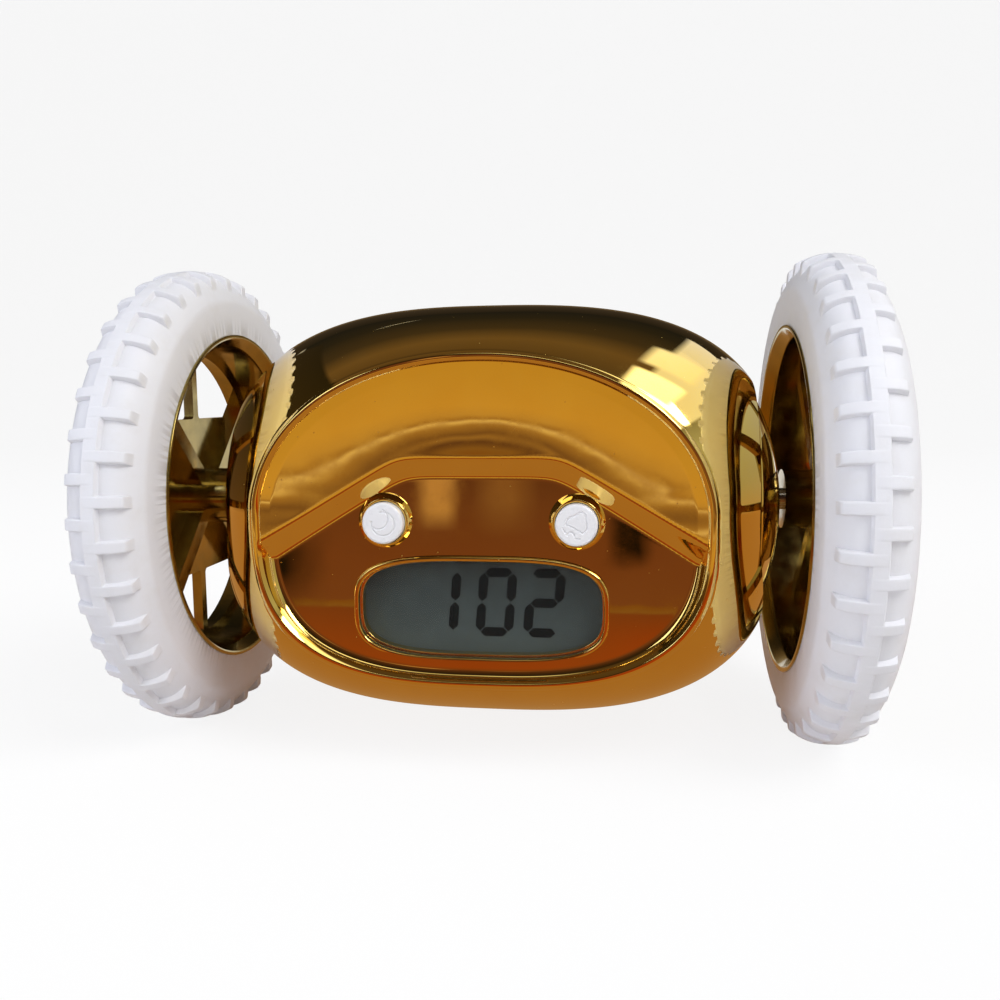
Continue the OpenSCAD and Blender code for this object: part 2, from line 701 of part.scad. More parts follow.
module front_switches() color(dark_plastic) in_frame() both_sides()
    translate([front_button_x, board_front_y, front_button_z]) push_switch(run_fit);
module rear_switches() color(dark_plastic) in_frame() for (x = rear_button_x)
    translate([x, rear_board_y, rear_button_z]) mirror([0, 1, 0]) push_switch(run_fit);

module front_plunger(x) color(nylon) in_frame()
    translate([x, board_front_y, front_button_z]) plunger();
module rear_plunger(i) color(nylon) in_frame()
    translate([rear_button_x[i], rear_board_y, rear_button_z]) mirror([0, 1, 0]) plunger();

// A button: cap, retaining flange behind the wall, and a stem to its switch.
module front_button(x) color(white_plastic) in_frame() translate([x, 0, front_button_z]) {
    bar_y(front_button_r, floor_y - front_button_out, front_in_y + seat_gap);
    bar_y(front_button_r + button_flange, front_in_y + seat_gap, front_in_y + seat_gap + button_flange_t);
    bar_y(plunger_r, front_in_y + seat_gap + button_flange_t, front_tip_y);
}
module rear_button(i) color(white_plastic) in_frame() translate([rear_button_x[i], 0, rear_button_z]) {
    bar_y(rear_button_r, rear_in_y - seat_gap, rear_y + rear_button_out);
    bar_y(rear_button_r + button_flange, rear_in_y - seat_gap - button_flange_t, rear_in_y - seat_gap);
    bar_y(plunger_r, rear_tip_y, rear_in_y - seat_gap - button_flange_t);
}

module rear_board() color(board_green) in_frame() difference() {
    box([-rear_board_w / 2, rear_board_front, rear_board_bottom],
        [rear_board_w / 2, rear_board_y, rear_board_top]);
    for (z = rear_post_z) both_sides() translate([rear_post_x, 0, z])
        bar_y(board_screw_r + snug_fit, rear_board_front - eps, rear_board_y + eps);
}

// Slide switch that turns the running on and off.
module run_switch() color(steel) in_frame() translate([0, rear_board_y, run_switch_z]) difference() {
    box([-run_body.x / 2, 0, -run_body.z / 2], [run_body.x / 2, run_body.y, run_body.z / 2]);
    box([-(run_knob_w + run_travel) / 2 - slide_gap, run_body.y - run_knob_depth - seat_gap,
        -run_knob_h / 2 - slide_gap],
        [(run_knob_w + run_travel) / 2 + slide_gap, run_body.y + eps, run_knob_h / 2 + slide_gap]);
}
module run_knob() color(dark_plastic) in_frame() translate([-run_travel / 2, 0, run_switch_z])
    box([-run_knob_w / 2, rear_board_y + run_body.y - run_knob_depth, -run_knob_h / 2],
        [run_knob_w / 2, rear_y + run_knob_out, run_knob_h / 2]);

module speaker() color(dark_plastic) in_frame() translate([0, 0, speaker_z]) {
    bar_y(speaker_r, speaker_back_y - speaker_t, speaker_back_y);
    bar_y(speaker_r * 0.6, speaker_back_y - speaker_t - 2, speaker_back_y - speaker_t);
}

// Power.
module battery_box() color(dark_plastic) in_frame() difference() {
    union() {
        box([-box_out_x, -box_out_y, box_bottom_z], [box_out_x, box_out_y, box_top_z + box_wall]);
        translate([door_screw_x, 0, door_boss_z]) cylinder(r = door_boss_r, h = door_boss_h);
        box([box_out_x - eps, -door_boss_r, door_boss_z],
            [door_screw_x, door_boss_r, door_boss_z + door_boss_h]);
    }
    box([-box_in_x, -box_in_y, box_bottom_z - eps], [box_in_x, box_in_y, box_top_z]);
    translate([door_screw_x, 0, door_boss_z - eps])
        cylinder(r = door_screw_r + run_fit, h = door_boss_h - 1);
}

module each_cell() for (y = [-cell_y, cell_y]) for (z = [lower_cell_z, upper_cell_z])
    translate([0, y, z]) children();

module batteries() color("sienna") in_frame() each_cell() {
    bar_x(cell_r, -cell_l / 2, cell_l / 2);
    bar_x(nub_r, cell_l / 2, cell_l / 2 + nub_l);
}

// A plate at each end of the box; the plates' round pads press on the cells.
module battery_contacts() color(steel) in_frame() {
    plate_x = box_in_x - contact_gap;
    plate_low = lower_cell_z - contact_r;
    plate_high = upper_cell_z + contact_r;
    box([plate_x - contact_t, -cell_y - contact_r, plate_low], [plate_x, cell_y + contact_r, plate_high]);
    box([-plate_x, -cell_y - contact_r, plate_low], [-plate_x + contact_t, cell_y + contact_r, plate_high]);
    each_cell() {
        bar_x(contact_r, -plate_x + contact_t, -cell_l / 2 - snug_fit);
        bar_x(nub_r, cell_l / 2 + nub_l + snug_fit, plate_x - contact_t);
    }
}

// The door is the piece of skin that the opening leaves out.
module battery_door() color(gold) in_frame() difference() {
    intersection() {
        door_prism(0);
        difference() {
            skin_stack([for (i = [-3:3]) outer_ring(i * (door_y + 1) / 3)]);
            skin_stack([for (i = [-3:3]) inner_ring(i * (door_y + 1.5) / 3)]);
        }
    }
    translate([door_screw_x, 0, -body_b - body_drop]) {
        cylinder(r = door_screw_r + run_fit, h = body_b);
        cylinder(r = door_head_r + run_fit, h = door_skin_z + body_b + body_drop + door_head_h);
    }
}
module door_screw() color(steel) in_frame() translate([door_screw_x, 0, door_skin_z]) {
    cylinder(r = door_head_r, h = door_head_h - snug_fit);
    cylinder(r = door_screw_r, h = door_boss_z + door_boss_h - 1.6 - door_skin_z);
}

// Gears: involute flanks above the base circle, radial below it.
function roll(base_r, r) = sqrt(max(0, pow(r / base_r, 2) - 1));
function involute_deg(base_r, r) = roll(base_r, r) * 180 / PI - atan(roll(base_r, r));
function tooth_half(teeth, base_r, r) = 90 / teeth - backlash / (gear_m * teeth) * 180 / PI
    + involute_deg(base_r, gear_m * teeth / 2) - involute_deg(base_r, max(base_r, r));
module gear_outline(teeth, addendum, tooth_angle) {
    pitch_r = gear_m * teeth / 2;
    base_r = pitch_r * cos(pressure_angle);
    tip_r = pitch_r + addendum;
    root_r = pitch_r - dedendum;
    start_r = max(base_r, root_r + 0.05);
    radii = concat([root_r], [for (i = [0:flank_steps]) start_r + (tip_r - start_r) * i / flank_steps]);
    n = len(radii);
    polygon([for (k = [0:teeth - 1]) for (j = [0:2 * n - 1]) let (
        r = radii[j < n ? j : 2 * n - 1 - j],
        half = tooth_half(teeth, base_r, r),
        a = tooth_angle + 360 * k / teeth + (j < n ? -half : half)) [r * cos(a), r * sin(a)]]);
}

module motor(right) color(steel) on_side(right) translate([0, motor_y, motor_z]) difference() {
    union() {
        intersection() {
            bar_x(motor_d / 2, motor_in, motor_out);
            box([motor_in, -motor_d, -motor_flat / 2], [motor_out, motor_d, motor_flat / 2]);
        }
        bar_x(motor_boss_r, motor_out - eps, motor_out + motor_boss_l);
        bar_x(motor_boss_r, motor_in - 1, motor_in + eps);
    }
    bar_x(motor_shaft_d / 2 + run_fit, motor_out - shaft_depth, motor_out + motor_boss_l + eps);
}
module motor_shaft(right) color(steel) on_side(right) translate([0, motor_y, motor_z])
    bar_x(motor_shaft_d / 2, motor_out - shaft_depth + seat_gap, idler_out + 0.2);
module motor_pinion(right) color(nylon) on_side(right) translate([0, motor_y, motor_z]) difference() {
    along_x(idler_in, idler_out)
        gear_outline(pinion_teeth, pinion_add, second_angle + 180 + 180 / pinion_teeth);
    bar_x(motor_shaft_d / 2 + snug_fit, idler_in - eps, idler_out + eps);
}

module idler_gear(right) color(nylon) on_side(right) translate([0, idler_y, idler_z]) difference() {
    union() {
        along_x(idler_in, idler_out) gear_outline(idler_teeth, wheel_add, second_angle);
        along_x(idler_out - eps, output_out)
            gear_outline(pinion_teeth, pinion_add, first_angle + 180 + 180 / pinion_teeth);
    }
    bar_x(idler_pin_d / 2 + run_fit, idler_in - eps, output_out + eps);
}
module idler_pin(right) color(steel) on_side(right) translate([0, idler_y, idler_z])
    bar_x(idler_pin_d / 2, frame_in, idler_pin_out);

module gear_frame(right) color(dark_plastic) on_side(right) difference() {
    union() {
        translate([0, 0, body_z]) {
            bar_x(frame_r, frame_in, frame_out);
            for (a = arm_angles) rotate([a, 0, 0]) {
                box([frame_in, 0, -arm_w / 2], [frame_out, pillar_reach, arm_w / 2]);
                translate([0, pillar_reach, 0]) bar_x(arm_w / 2, frame_in, frame_out);
                translate([0, pillar_reach, 0]) bar_x(pillar_r, frame_out - eps, cap_flange_in);
            }
        }
    }
    translate([0, motor_y, motor_z]) bar_x(motor_boss_r + snug_fit, frame_in - eps, frame_out + eps);
    translate([0, idler_y, idler_z]) bar_x(idler_pin_d / 2 + snug_fit, frame_in - eps, frame_out + eps);
}

module output_gear(right) color(nylon) on_side(right) difference() {
    along_x(output_in, output_out) gear_outline(output_teeth, wheel_add, first_angle);
    bar_x(axle_d / 2 + snug_fit, output_in - eps, output_out + eps);
}
module axle(right) color(steel) on_side(right) bar_x(axle_d / 2, axle_in, axle_out);

// Hub: barrel with two flanges, and a web with four divided windows.
module window_half() intersection() {
    circle(r = window_r);
    translate([window_chord, -window_r]) square([window_r, 2 * window_r]);
}
module web_windows() difference() {
    for (i = [0:3]) rotate(90 * i) window_half();
    for (i = [0:3]) {
        rotate(90 * i) translate([0, -window_rib / 2]) square([window_r + 1, window_rib]);
        rotate(90 * i + 45) translate([0, -spoke_w / 2]) square([window_r + 1, spoke_w]);
    }
}
module hub(right) color(gold) on_side(right) difference() {
    union() {
        rotate([0, 90, 0]) rotate_extrude() polygon([
            [hub_r - hub_wall, tyre_in - flange_t], [tyre_open_r + flange_lap, tyre_in - flange_t],
            [tyre_open_r + flange_lap, tyre_in], [hub_r, tyre_in], [hub_r, hub_out],
            [tyre_open_r + flange_lap, hub_out], [tyre_open_r + flange_lap, hub_out + flange_t],
            [hub_r - hub_wall, hub_out + flange_t]]);
        difference() {
            bar_x(hub_r - hub_wall / 2, web_in, web_out);
            along_x(web_in - eps, web_out + eps) web_windows();
        }
        bar_x(hub_boss_r, tyre_in, web_out);
        for (i = [0:3]) rotate([90 * i + 45, 0, 0])
            box([web_in - spoke_depth, 0, -spoke_w / 2], [web_in + eps, hub_r - hub_wall / 2, spoke_w / 2]);
    }
    bar_x(axle_d / 2 + snug_fit, tyre_in - eps, axle_out);
}
module hub_cap(right) color(gold) on_side(right) rotate([0, 90, 0]) rotate_extrude() polygon([
    [0, web_out], [hub_cap_d / 2, web_out], [hub_cap_d / 2, web_out + hub_cap_t / 2],
    [hub_cap_d / 2 - 1, web_out + hub_cap_t], [0, web_out + hub_cap_t]]);

// Tyre: a channel of rubber with two staggered rows of lugs and a rib between.
module lug_row(x0, x1, turn) for (i = [0:lug_count - 1]) rotate([turn + 180 + lug_pitch * i, 0, 0])
    box([x0, -lug_w / 2, tread_r - lug_root], [x1, lug_w / 2, wheel_r]);
module tyre(right) color(white_rubber) on_side(right) {
    rotate([0, 90, 0]) rotate_extrude($fn = 96) polygon([
        [tyre_open_r, tyre_in], [tread_r - 3.9, tyre_in], [tread_r - shoulder_drop, tyre_in + 0.9],
        [tread_r, tyre_in + 2.4], [tread_r, tyre_mid - tread_rib_w / 2],
        [wheel_r - tread_rib_drop, tyre_mid - tread_rib_w / 2],
        [wheel_r - tread_rib_drop, tyre_mid + tread_rib_w / 2],
        [tread_r, tyre_mid + tread_rib_w / 2], [tread_r, tyre_out - 2.6],
        [tread_r - shoulder_drop, tyre_out - 0.8], [tread_r - 3.2, tyre_out],
        [tyre_open_r + 2 * flange_lap, tyre_out], [tyre_open_r + 2 * flange_lap, hub_out],
        [tyre_open_r, hub_out], [tyre_open_r, hub_out - tyre_wall],
        [tread_r - tyre_wall - 1, hub_out - tyre_wall], [tread_r - tyre_wall - 1, tyre_in + tyre_wall],
        [tyre_open_r, tyre_in + tyre_wall]]);
    lug_row(inner_lug_start, tyre_mid, 0);
    lug_row(tyre_mid, outer_lug_end, lug_pitch / 2);
}

// Fasteners.
module case_screws() color(steel) in_frame() for (p = [upper_column, lower_column]) both_sides()
    translate([p.x, 0, p.y]) {
        bar_y(screw_r, -screw_reach, screw_seat_y + eps);
        bar_y(screw_head_r, screw_seat_y, screw_seat_y + screw_head_h);
    }
module board_screws() color(steel) in_frame() both_sides() {
    for (z = front_post_z) translate([front_post_x, 0, z]) {
        bar_y(board_screw_r, board_front_y - board_screw_reach + 0.4, board_back_y + eps);
        bar_y(board_screw_head_r, board_back_y, board_back_y + board_screw_head_h);
    }
    for (z = rear_post_z) translate([rear_post_x, 0, z]) {
        bar_y(board_screw_r, rear_board_front - eps, rear_board_y + board_screw_reach - 0.4);
        bar_y(board_screw_head_r, rear_board_front - board_screw_head_h, rear_board_front);
    }
}

front_shell();
rear_shell();
side_cap(false);  // left_side_cap
side_cap(true);  // right_side_cap
display_bezel();
display_window();
lcd_panel();
lcd_segments();
lcd_frame();
contact_strips();
main_board();
board_parts();
front_switches();
front_button(-front_button_x);  // snooze_button
front_plunger(-front_button_x);  // snooze_plunger
front_button(front_button_x);  // alarm_button
front_plunger(front_button_x);  // alarm_plunger
rear_board();
rear_switches();
rear_button(0);  // hour_button
rear_button(1);  // minute_button
rear_button(2);  // time_button
rear_button(3);  // alarm_set_button
rear_plunger(0);  // hour_plunger
rear_plunger(1);  // minute_plunger
rear_plunger(2);  // time_plunger
rear_plunger(3);  // alarm_set_plunger
run_switch();
run_knob();
speaker();
battery_box();
batteries();
battery_contacts();
battery_door();
door_screw();
motor(false);  // left_motor
motor_shaft(false);  // left_motor_shaft
motor_pinion(false);  // left_motor_pinion
idler_gear(false);  // left_idler_gear
idler_pin(false);  // left_idler_pin
gear_frame(false);  // left_gear_frame
output_gear(false);  // left_output_gear
axle(false);  // left_axle
hub(false);  // left_hub
tyre(false);  // left_tyre
hub_cap(false);  // left_hub_cap
motor(true);  // right_motor
motor_shaft(true);  // right_motor_shaft
motor_pinion(true);  // right_motor_pinion
idler_gear(true);  // right_idler_gear
idler_pin(true);  // right_idler_pin
gear_frame(true);  // right_gear_frame
output_gear(true);  // right_output_gear
axle(true);  // right_axle
hub(true);  // right_hub
tyre(true);  // right_tyre
hub_cap(true);  // right_hub_cap
case_screws();
board_screws();
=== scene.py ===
"""Dresses the runaway alarm clock: a gold-plated body with a dished digital dial, between two
rubber wheels.

Shapes are worked out in millimetres about the middle of the axle line, X across the wheels,
the dial towards -Y and Z up, and are put into the meshes in metres in the frame of the solids.
"""
import json
import math

import bmesh
import bpy
import numpy as np
from bpy.props import FloatProperty, FloatVectorProperty, IntProperty, PointerProperty
from bpy.types import Operator, Panel, PropertyGroup
from mathutils import Matrix, Vector

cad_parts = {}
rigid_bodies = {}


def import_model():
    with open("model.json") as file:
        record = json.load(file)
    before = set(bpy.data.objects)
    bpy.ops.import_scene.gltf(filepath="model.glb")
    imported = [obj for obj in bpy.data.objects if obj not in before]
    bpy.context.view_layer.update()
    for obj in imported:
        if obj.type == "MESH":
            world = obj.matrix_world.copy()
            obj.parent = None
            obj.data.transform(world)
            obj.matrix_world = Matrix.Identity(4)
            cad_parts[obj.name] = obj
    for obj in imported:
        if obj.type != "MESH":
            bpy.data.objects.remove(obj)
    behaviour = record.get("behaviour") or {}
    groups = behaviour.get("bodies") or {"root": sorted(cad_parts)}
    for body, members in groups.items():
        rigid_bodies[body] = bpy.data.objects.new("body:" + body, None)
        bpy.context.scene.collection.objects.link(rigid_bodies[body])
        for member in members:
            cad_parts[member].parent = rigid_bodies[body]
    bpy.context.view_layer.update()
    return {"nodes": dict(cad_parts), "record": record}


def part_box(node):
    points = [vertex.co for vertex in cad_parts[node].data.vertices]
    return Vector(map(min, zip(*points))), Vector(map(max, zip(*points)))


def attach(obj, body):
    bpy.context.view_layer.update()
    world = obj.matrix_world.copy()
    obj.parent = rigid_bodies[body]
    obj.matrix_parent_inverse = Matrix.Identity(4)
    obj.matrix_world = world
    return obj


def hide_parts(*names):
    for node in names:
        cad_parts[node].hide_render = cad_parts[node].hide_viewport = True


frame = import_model()

bl_info = {
    "name": "Runaway alarm clock",
    "version": (1, 0, 0),
    "blender": (4, 5, 0),
    "location": "3D View > Sidebar > Clock",
    "description": "Builds the visible pieces and the finishes of a two-wheeled alarm clock",
    "category": "Object",
}

MM = 0.001


def linear(code):
    """Linear red, green and blue of an sRGB hex colour."""
    parts = [int(code[i:i + 2], 16) / 255 for i in (1, 3, 5)]
    return tuple(c / 12.92 if c <= 0.04045 else ((c + 0.055) / 1.055) ** 2.4 for c in parts)


def corners(node):
    """Lowest and highest corner of a solid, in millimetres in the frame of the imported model."""
    low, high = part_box(node)
    return np.array(low) / MM, np.array(high) / MM


AXLE_H = float(sum(c[2] for c in corners("left_tyre")) / 2)


def span(node):
    """Lowest and highest corner of a solid, in millimetres about the middle of the axle line."""
    low, high = corners(node)
    return low - [0, 0, AXLE_H], high - [0, 0, AXLE_H]


SHELL_LOW, SHELL_HIGH = span("front_shell")
BEZEL_LOW, BEZEL_HIGH = span("display_bezel")
TYRE_LOW, TYRE_HIGH = span("right_tyre")
CAP_LOW, CAP_HIGH = span("right_side_cap")
DISPLAY_Z = (BEZEL_LOW[2] + BEZEL_HIGH[2]) / 2
# The side openings end the shells short of the form's full width, which follows from its curve.
DEPTH, SIDE_BORE, POWER = 75.0, 24.2, 2.85
FULL_WIDTH = 2 * SHELL_HIGH[0] / (1 - (2 * SIDE_BORE / DEPTH) ** POWER) ** (1 / POWER)
OVAL = 3.4  # exponent of the display's rounded outline
SCREWS = [(21, 24.5), (32.1, -25)]  # X and Z of the case screws on one side
RIM_INSET, RIM_STEP = 1.7, 0.6  # where the cove starts, inside the rim and behind it
AXLE_BORE = 2.02


# ---------------------------------------------------------------- sizes and colours

def mm(name, text, value):
    """A length in millimetres that a user can change."""
    return FloatProperty(name=name, description=text, default=float(value), subtype="DISTANCE")


def number(name, text, value, low, high):
    """A plain number, such as an exponent or an angle in degrees, that a user can change."""
    return FloatProperty(name=name, description=text, default=value, min=low, max=high)


def colour(name, text, code):
    """A colour that a user can change, given as sRGB hex."""
    return FloatVectorProperty(name=name, description=text, default=linear(code), subtype="COLOR",
                               size=3, min=0, max=1)


class BodySizes(PropertyGroup):
    """Form of the body: |x/a|^n + |y/c|^n + |z/b|^n = 1."""
    width: mm("Width", "Width of the rounded form", FULL_WIDTH)
    height: mm("Height", "Height of the rounded form", SHELL_HIGH[2] - SHELL_LOW[2])
    depth: mm("Depth", "Depth of the full rounded form", DEPTH)
    drop: mm("Drop", "Drop of the form's centre below the axle",
             -(SHELL_HIGH[2] + SHELL_LOW[2]) / 2)
    wall: mm("Wall", "Thickness of the shells", 2)
    side_bore: mm("Side opening", "Radius of the round opening in each side", SIDE_BORE)
    rear: mm("Rear panel", "Distance of the flat rear panel behind the axle", 33.5)
    squareness: number("Squareness", "Exponent of the form; 2 is an ellipsoid", POWER, 2, 4)
    rim_power: number("Rim squareness", "Exponent of the dial rim's upper half", 2.1, 2, 3)


class DialSizes(PropertyGroup):
    """The dished dial with its brow and its tilted flat."""
    rim: mm("Rim", "Distance of the rim in front of the axle", -SHELL_LOW[1])
    depth: mm("Depth", "Depth of the flat below the rim, at the display",
              BEZEL_LOW[1] + 0.8 - SHELL_LOW[1])
    cove: mm("Cove", "Width of the cove from the rim to the flat", 1.7)
    hood: mm("Hood", "Depth of the hollow brow at its lower edge", 2.5)
    brow_height: mm("Brow height", "Height of the brow's straight edge above the axle", 9)
    brow_width: mm("Brow width", "Length of the brow's straight edge", 27)
    brow_slope: mm("Brow slope", "Width of the slope from the brow down to the flat", 3.1)
    brow_fall: number("Brow fall", "Fall of the brow's two sides, in degrees", 31, 20, 45)
    tilt: number("Tilt", "Degrees by which the flat leans back at the top", 5, 0, 6)


class WheelSizes(PropertyGroup):
    """Tyre and tread."""
    radius: mm("Radius", "Radius over the lugs", (TYRE_HIGH[2] - TYRE_LOW[2]) / 2)
    inner: mm("Inner face", "Distance of the inner face from the middle", TYRE_LOW[0])
    outer: mm("Outer face", "Distance of the outer face from the middle", TYRE_HIGH[0])
    bore: mm("Opening", "Radius of the opening inside the tyre", 31.5)
    lug_height: mm("Lug height", "Height of the lugs over the tread", 1.0)
    lug_width: mm("Lug width", "Width of one lug along the tread", 2.2)
    rib: mm("Rib", "Width of the rib between the rows", 2.2)
    lugs: IntProperty(name="Lugs", description="Lugs in each of the two rows",
                      default=38, min=20, max=60)


class Finishes(PropertyGroup):
    """Colours of the finishes."""
    gold: colour("Gold", "Tint of the vacuum plating", "#F7D46F")
    rubber: colour("Rubber", "White silicone rubber", "#E9E9EE")
    plastic: colour("Plastic", "White button plastic", "#EDEDF0")
    dark: colour("Dark plastic", "Black moulded plastic", "#26272A")
    display: colour("Display", "Ground of the liquid crystal", "#424B4A")
    ink: colour("Segments", "Dark segments", "#0C0E0D")
    board: colour("Board", "Solder mask of the circuit boards", "#1C6B3A")
    sleeve: colour("Cell sleeve", "Plain sleeve of the cells", "#A8562A")
    steel: colour("Steel", "Nickel-plated steel", "#C9CACC")
    zinc: colour("Zinc", "Zinc-plated motor cans", "#BFC1C4")
    nylon: colour("Nylon", "Gears and frames", "#EFEAD8")
    strip: colour("Contact strip", "Conductive rubber", "#C98A86")
    window: colour("Window", "Clear acrylic and the dust on it", "#8E9494")
    floor: colour("Floor", "Floor and backdrop", "#F4F4F4")


# ---------------------------------------------------------------- meshes

def grid(points, wrap_u=False, wrap_v=False):
    """Points and quads of a grid; wrap joins the last row or column to the first."""
    rows, cols = points.shape[:2]
    i, j = np.meshgrid(np.arange(rows if wrap_u else rows - 1),
                       np.arange(cols if wrap_v else cols - 1), indexing="ij")
    k, m = (i + 1) % rows, (j + 1) % cols
    quads = np.stack([i * cols + j, k * cols + j, k * cols + m, i * cols + m], -1)
    return points.reshape(-1, 3), quads.reshape(-1, 4)


def build(name, grids, crease=32.0, tidy=True):
    """One mesh object from grids in millimetres about the axle: doubles merged, normals outward."""
    points, quads, start = [], [], 0
    for p, q in grids:
        points.append(p)
        quads.append(q + start)
        start += len(p)
    points = (np.concatenate(points) + [0, 0, AXLE_H]) * MM
    mesh = bpy.data.meshes.new(name)
    mesh.from_pydata(points, [], np.concatenate(quads))
    if tidy:
        bm = bmesh.new()
        bm.from_mesh(mesh)
        bmesh.ops.remove_doubles(bm, verts=bm.verts, dist=2e-7)
        bmesh.ops.dissolve_degenerate(bm, edges=bm.edges, dist=1e-7)
        bmesh.ops.recalc_face_normals(bm, faces=bm.faces)
        bm.to_mesh(mesh)
        bm.free()
    piece = bpy.data.objects.new(name, mesh)
    bpy.context.scene.collection.objects.link(piece)
    soften(mesh, crease)
    return piece


def soften(mesh, crease):
    """Smooth shading with hard edges where faces meet at more than the crease angle."""
    mesh.shade_smooth()
    mesh.set_sharp_from_angle(angle=math.radians(crease))


def settle(piece, crease=32.0):
    """Applies a piece's modifiers to its mesh."""
    graph = bpy.context.evaluated_depsgraph_get()
    old = piece.data
    mesh = bpy.data.meshes.new_from_object(piece.evaluated_get(graph))
    piece.modifiers.clear()
    piece.data = mesh
    bpy.data.meshes.remove(old)
    mesh.name = piece.name
    soften(mesh, crease)


def combine(piece, tool, how="DIFFERENCE", crease=32.0):
    """Joins a tool solid to a piece or cuts it away, and deletes the tool."""
    mod = piece.modifiers.new("combine", "BOOLEAN")
    mod.operation, mod.object, mod.solver = how, tool, "MANIFOLD"
    settle(piece, crease)
    mesh = tool.data
    bpy.data.objects.remove(tool)
    bpy.data.meshes.remove(mesh)


def finish(piece, material, body, slot, *nodes):
    """Gives a piece its finish and its body, and hides the solids that it stands for. The slot is not
    used.
    """
    piece.data.materials.clear()
    piece.data.materials.append(material)
    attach(piece, body)
    if nodes:
        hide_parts(*nodes)


def rounded(points, radius, steps=5):
    """A closed outline with its corners turned into arcs: each corner gives way to a circle's arc
    that touches both edges, no longer than 45% of the shorter one."""
    points = np.asarray(points, float)
    radii = np.broadcast_to(radius, (len(points),))
    out = []
    for k, corner in enumerate(points):
        a, b = points[k - 1] - corner, points[(k + 1) % len(points)] - corner
        la, lb = np.linalg.norm(a), np.linalg.norm(b)
        a, b = a / la, b / lb
        half = math.acos(max(-1.0, min(1.0, float(a @ b)))) / 2
        if radii[k] <= 0 or half > math.radians(88):
            out.append(corner[None])
            continue
        reach = min(radii[k] / math.tan(half), 0.45 * la, 0.45 * lb)
        r = reach * math.tan(half)
        middle = corner + (a + b) / np.linalg.norm(a + b) * r / math.sin(half)
        start, end = corner + a * reach - middle, corner + b * reach - middle
        t0, t1 = math.atan2(start[1], start[0]), math.atan2(end[1], end[0])
        turn = (t1 - t0 + math.pi) % (2 * math.pi) - math.pi
        t = t0 + turn * np.linspace(0, 1, steps + 1)
        out.append(middle + r * np.stack([np.cos(t), np.sin(t)], 1))
    return np.concatenate(out)


def spin_x(profile, centre=0.0, count=128):
    """Surface of revolution about X: each profile point (x, r) runs once round the axis."""
    t = np.linspace(0, 2 * math.pi, count, endpoint=False)[:, None]
    x, r = profile[:, 0], profile[:, 1]
    p = np.stack([x + 0 * t, r * np.cos(t), r * np.sin(t) + centre], -1)
    return grid(p, wrap_u=True, wrap_v=True)


def spin_y(profile, at, count=96):
    """Surface of revolution about Y through (x, z): each profile point is (y, r)."""
    t = np.linspace(0, 2 * math.pi, count, endpoint=False)[:, None]
    y, r = profile[:, 0], profile[:, 1]
    p = np.stack([r * np.cos(t) + at[0], y + 0 * t, r * np.sin(t) + at[1]], -1)
    return grid(p, wrap_u=True, wrap_v=True)


def spin_z(profile, at, count=64):
    """Surface of revolution about Z through (x, y): each profile point is (z, r)."""
    t = np.linspace(0, 2 * math.pi, count, endpoint=False)[:, None]
    z, r = profile[:, 0], profile[:, 1]
    p = np.stack([r * np.cos(t) + at[0], r * np.sin(t) + at[1], z + 0 * t], -1)
    return grid(p, wrap_u=True, wrap_v=True)


def bar(axis, radius, low, high, at, count=48):
    """A round bar along an axis, as a closed surface of revolution."""
    profile = np.array([[low, 0], [low, radius], [high, radius], [high, 0]], float)
    return {"x": spin_x, "y": spin_y, "z": spin_z}[axis](profile, at, count)


def prism(outline, low, high, axis="y"):
    """A closed bar with any outline: rings at both ends shrink to the outline's middle."""
    outline = np.asarray(outline, float)
    middle = outline.mean(0)
    rings = np.stack([middle + 0 * outline, outline, outline, middle + 0 * outline])
    depth = np.array([low, low, high, high])[:, None] + 0 * rings[..., 0]
    order = {"x": (depth, rings[..., 0], rings[..., 1]), "y": (rings[..., 0], depth, rings[..., 1]),
             "z": (rings[..., 0], rings[..., 1], depth)}[axis]
    return grid(np.stack(order, -1), wrap_v=True)


def block(low, high, radius=0.0, steps=3):
    """A box between two corners, with its four edges along Y rounded."""
    outline = [[low[0], low[2]], [high[0], low[2]], [high[0], high[2]], [low[0], high[2]]]
    return prism(rounded(outline, radius, steps), low[1], high[1])


def unit_loop(power, count):
    """Unit curve |u|^n + |v|^n = 1, drawn at even angles about its middle."""
    t = np.linspace(0, 2 * math.pi, count, endpoint=False)
    c, s = np.cos(t), np.sin(t)
    reach = (np.abs(c) ** power + np.abs(s) ** power) ** (-1 / power)
    return c * reach, s * reach


# ---------------------------------------------------------------- body

def skin_share(y, half, power):
    """Share of the full width that the rounded form has at a distance y from its middle plane."""
    return np.maximum(0, 1 - (np.abs(y) / half) ** power) ** (1 / power)


def smooth_step(v):
    """0 below 0, 1 above 1, and 3v^2 - 2v^3 between."""
    v = np.clip(v, 0, 1)
    return v * v * (3 - 2 * v)


def flat_depth(z, dial):
    """Depth of the flat behind the rim, which leans back by the tilt from the display's middle."""
    return dial.depth + math.tan(math.radians(dial.tilt)) * (z - DISPLAY_Z)


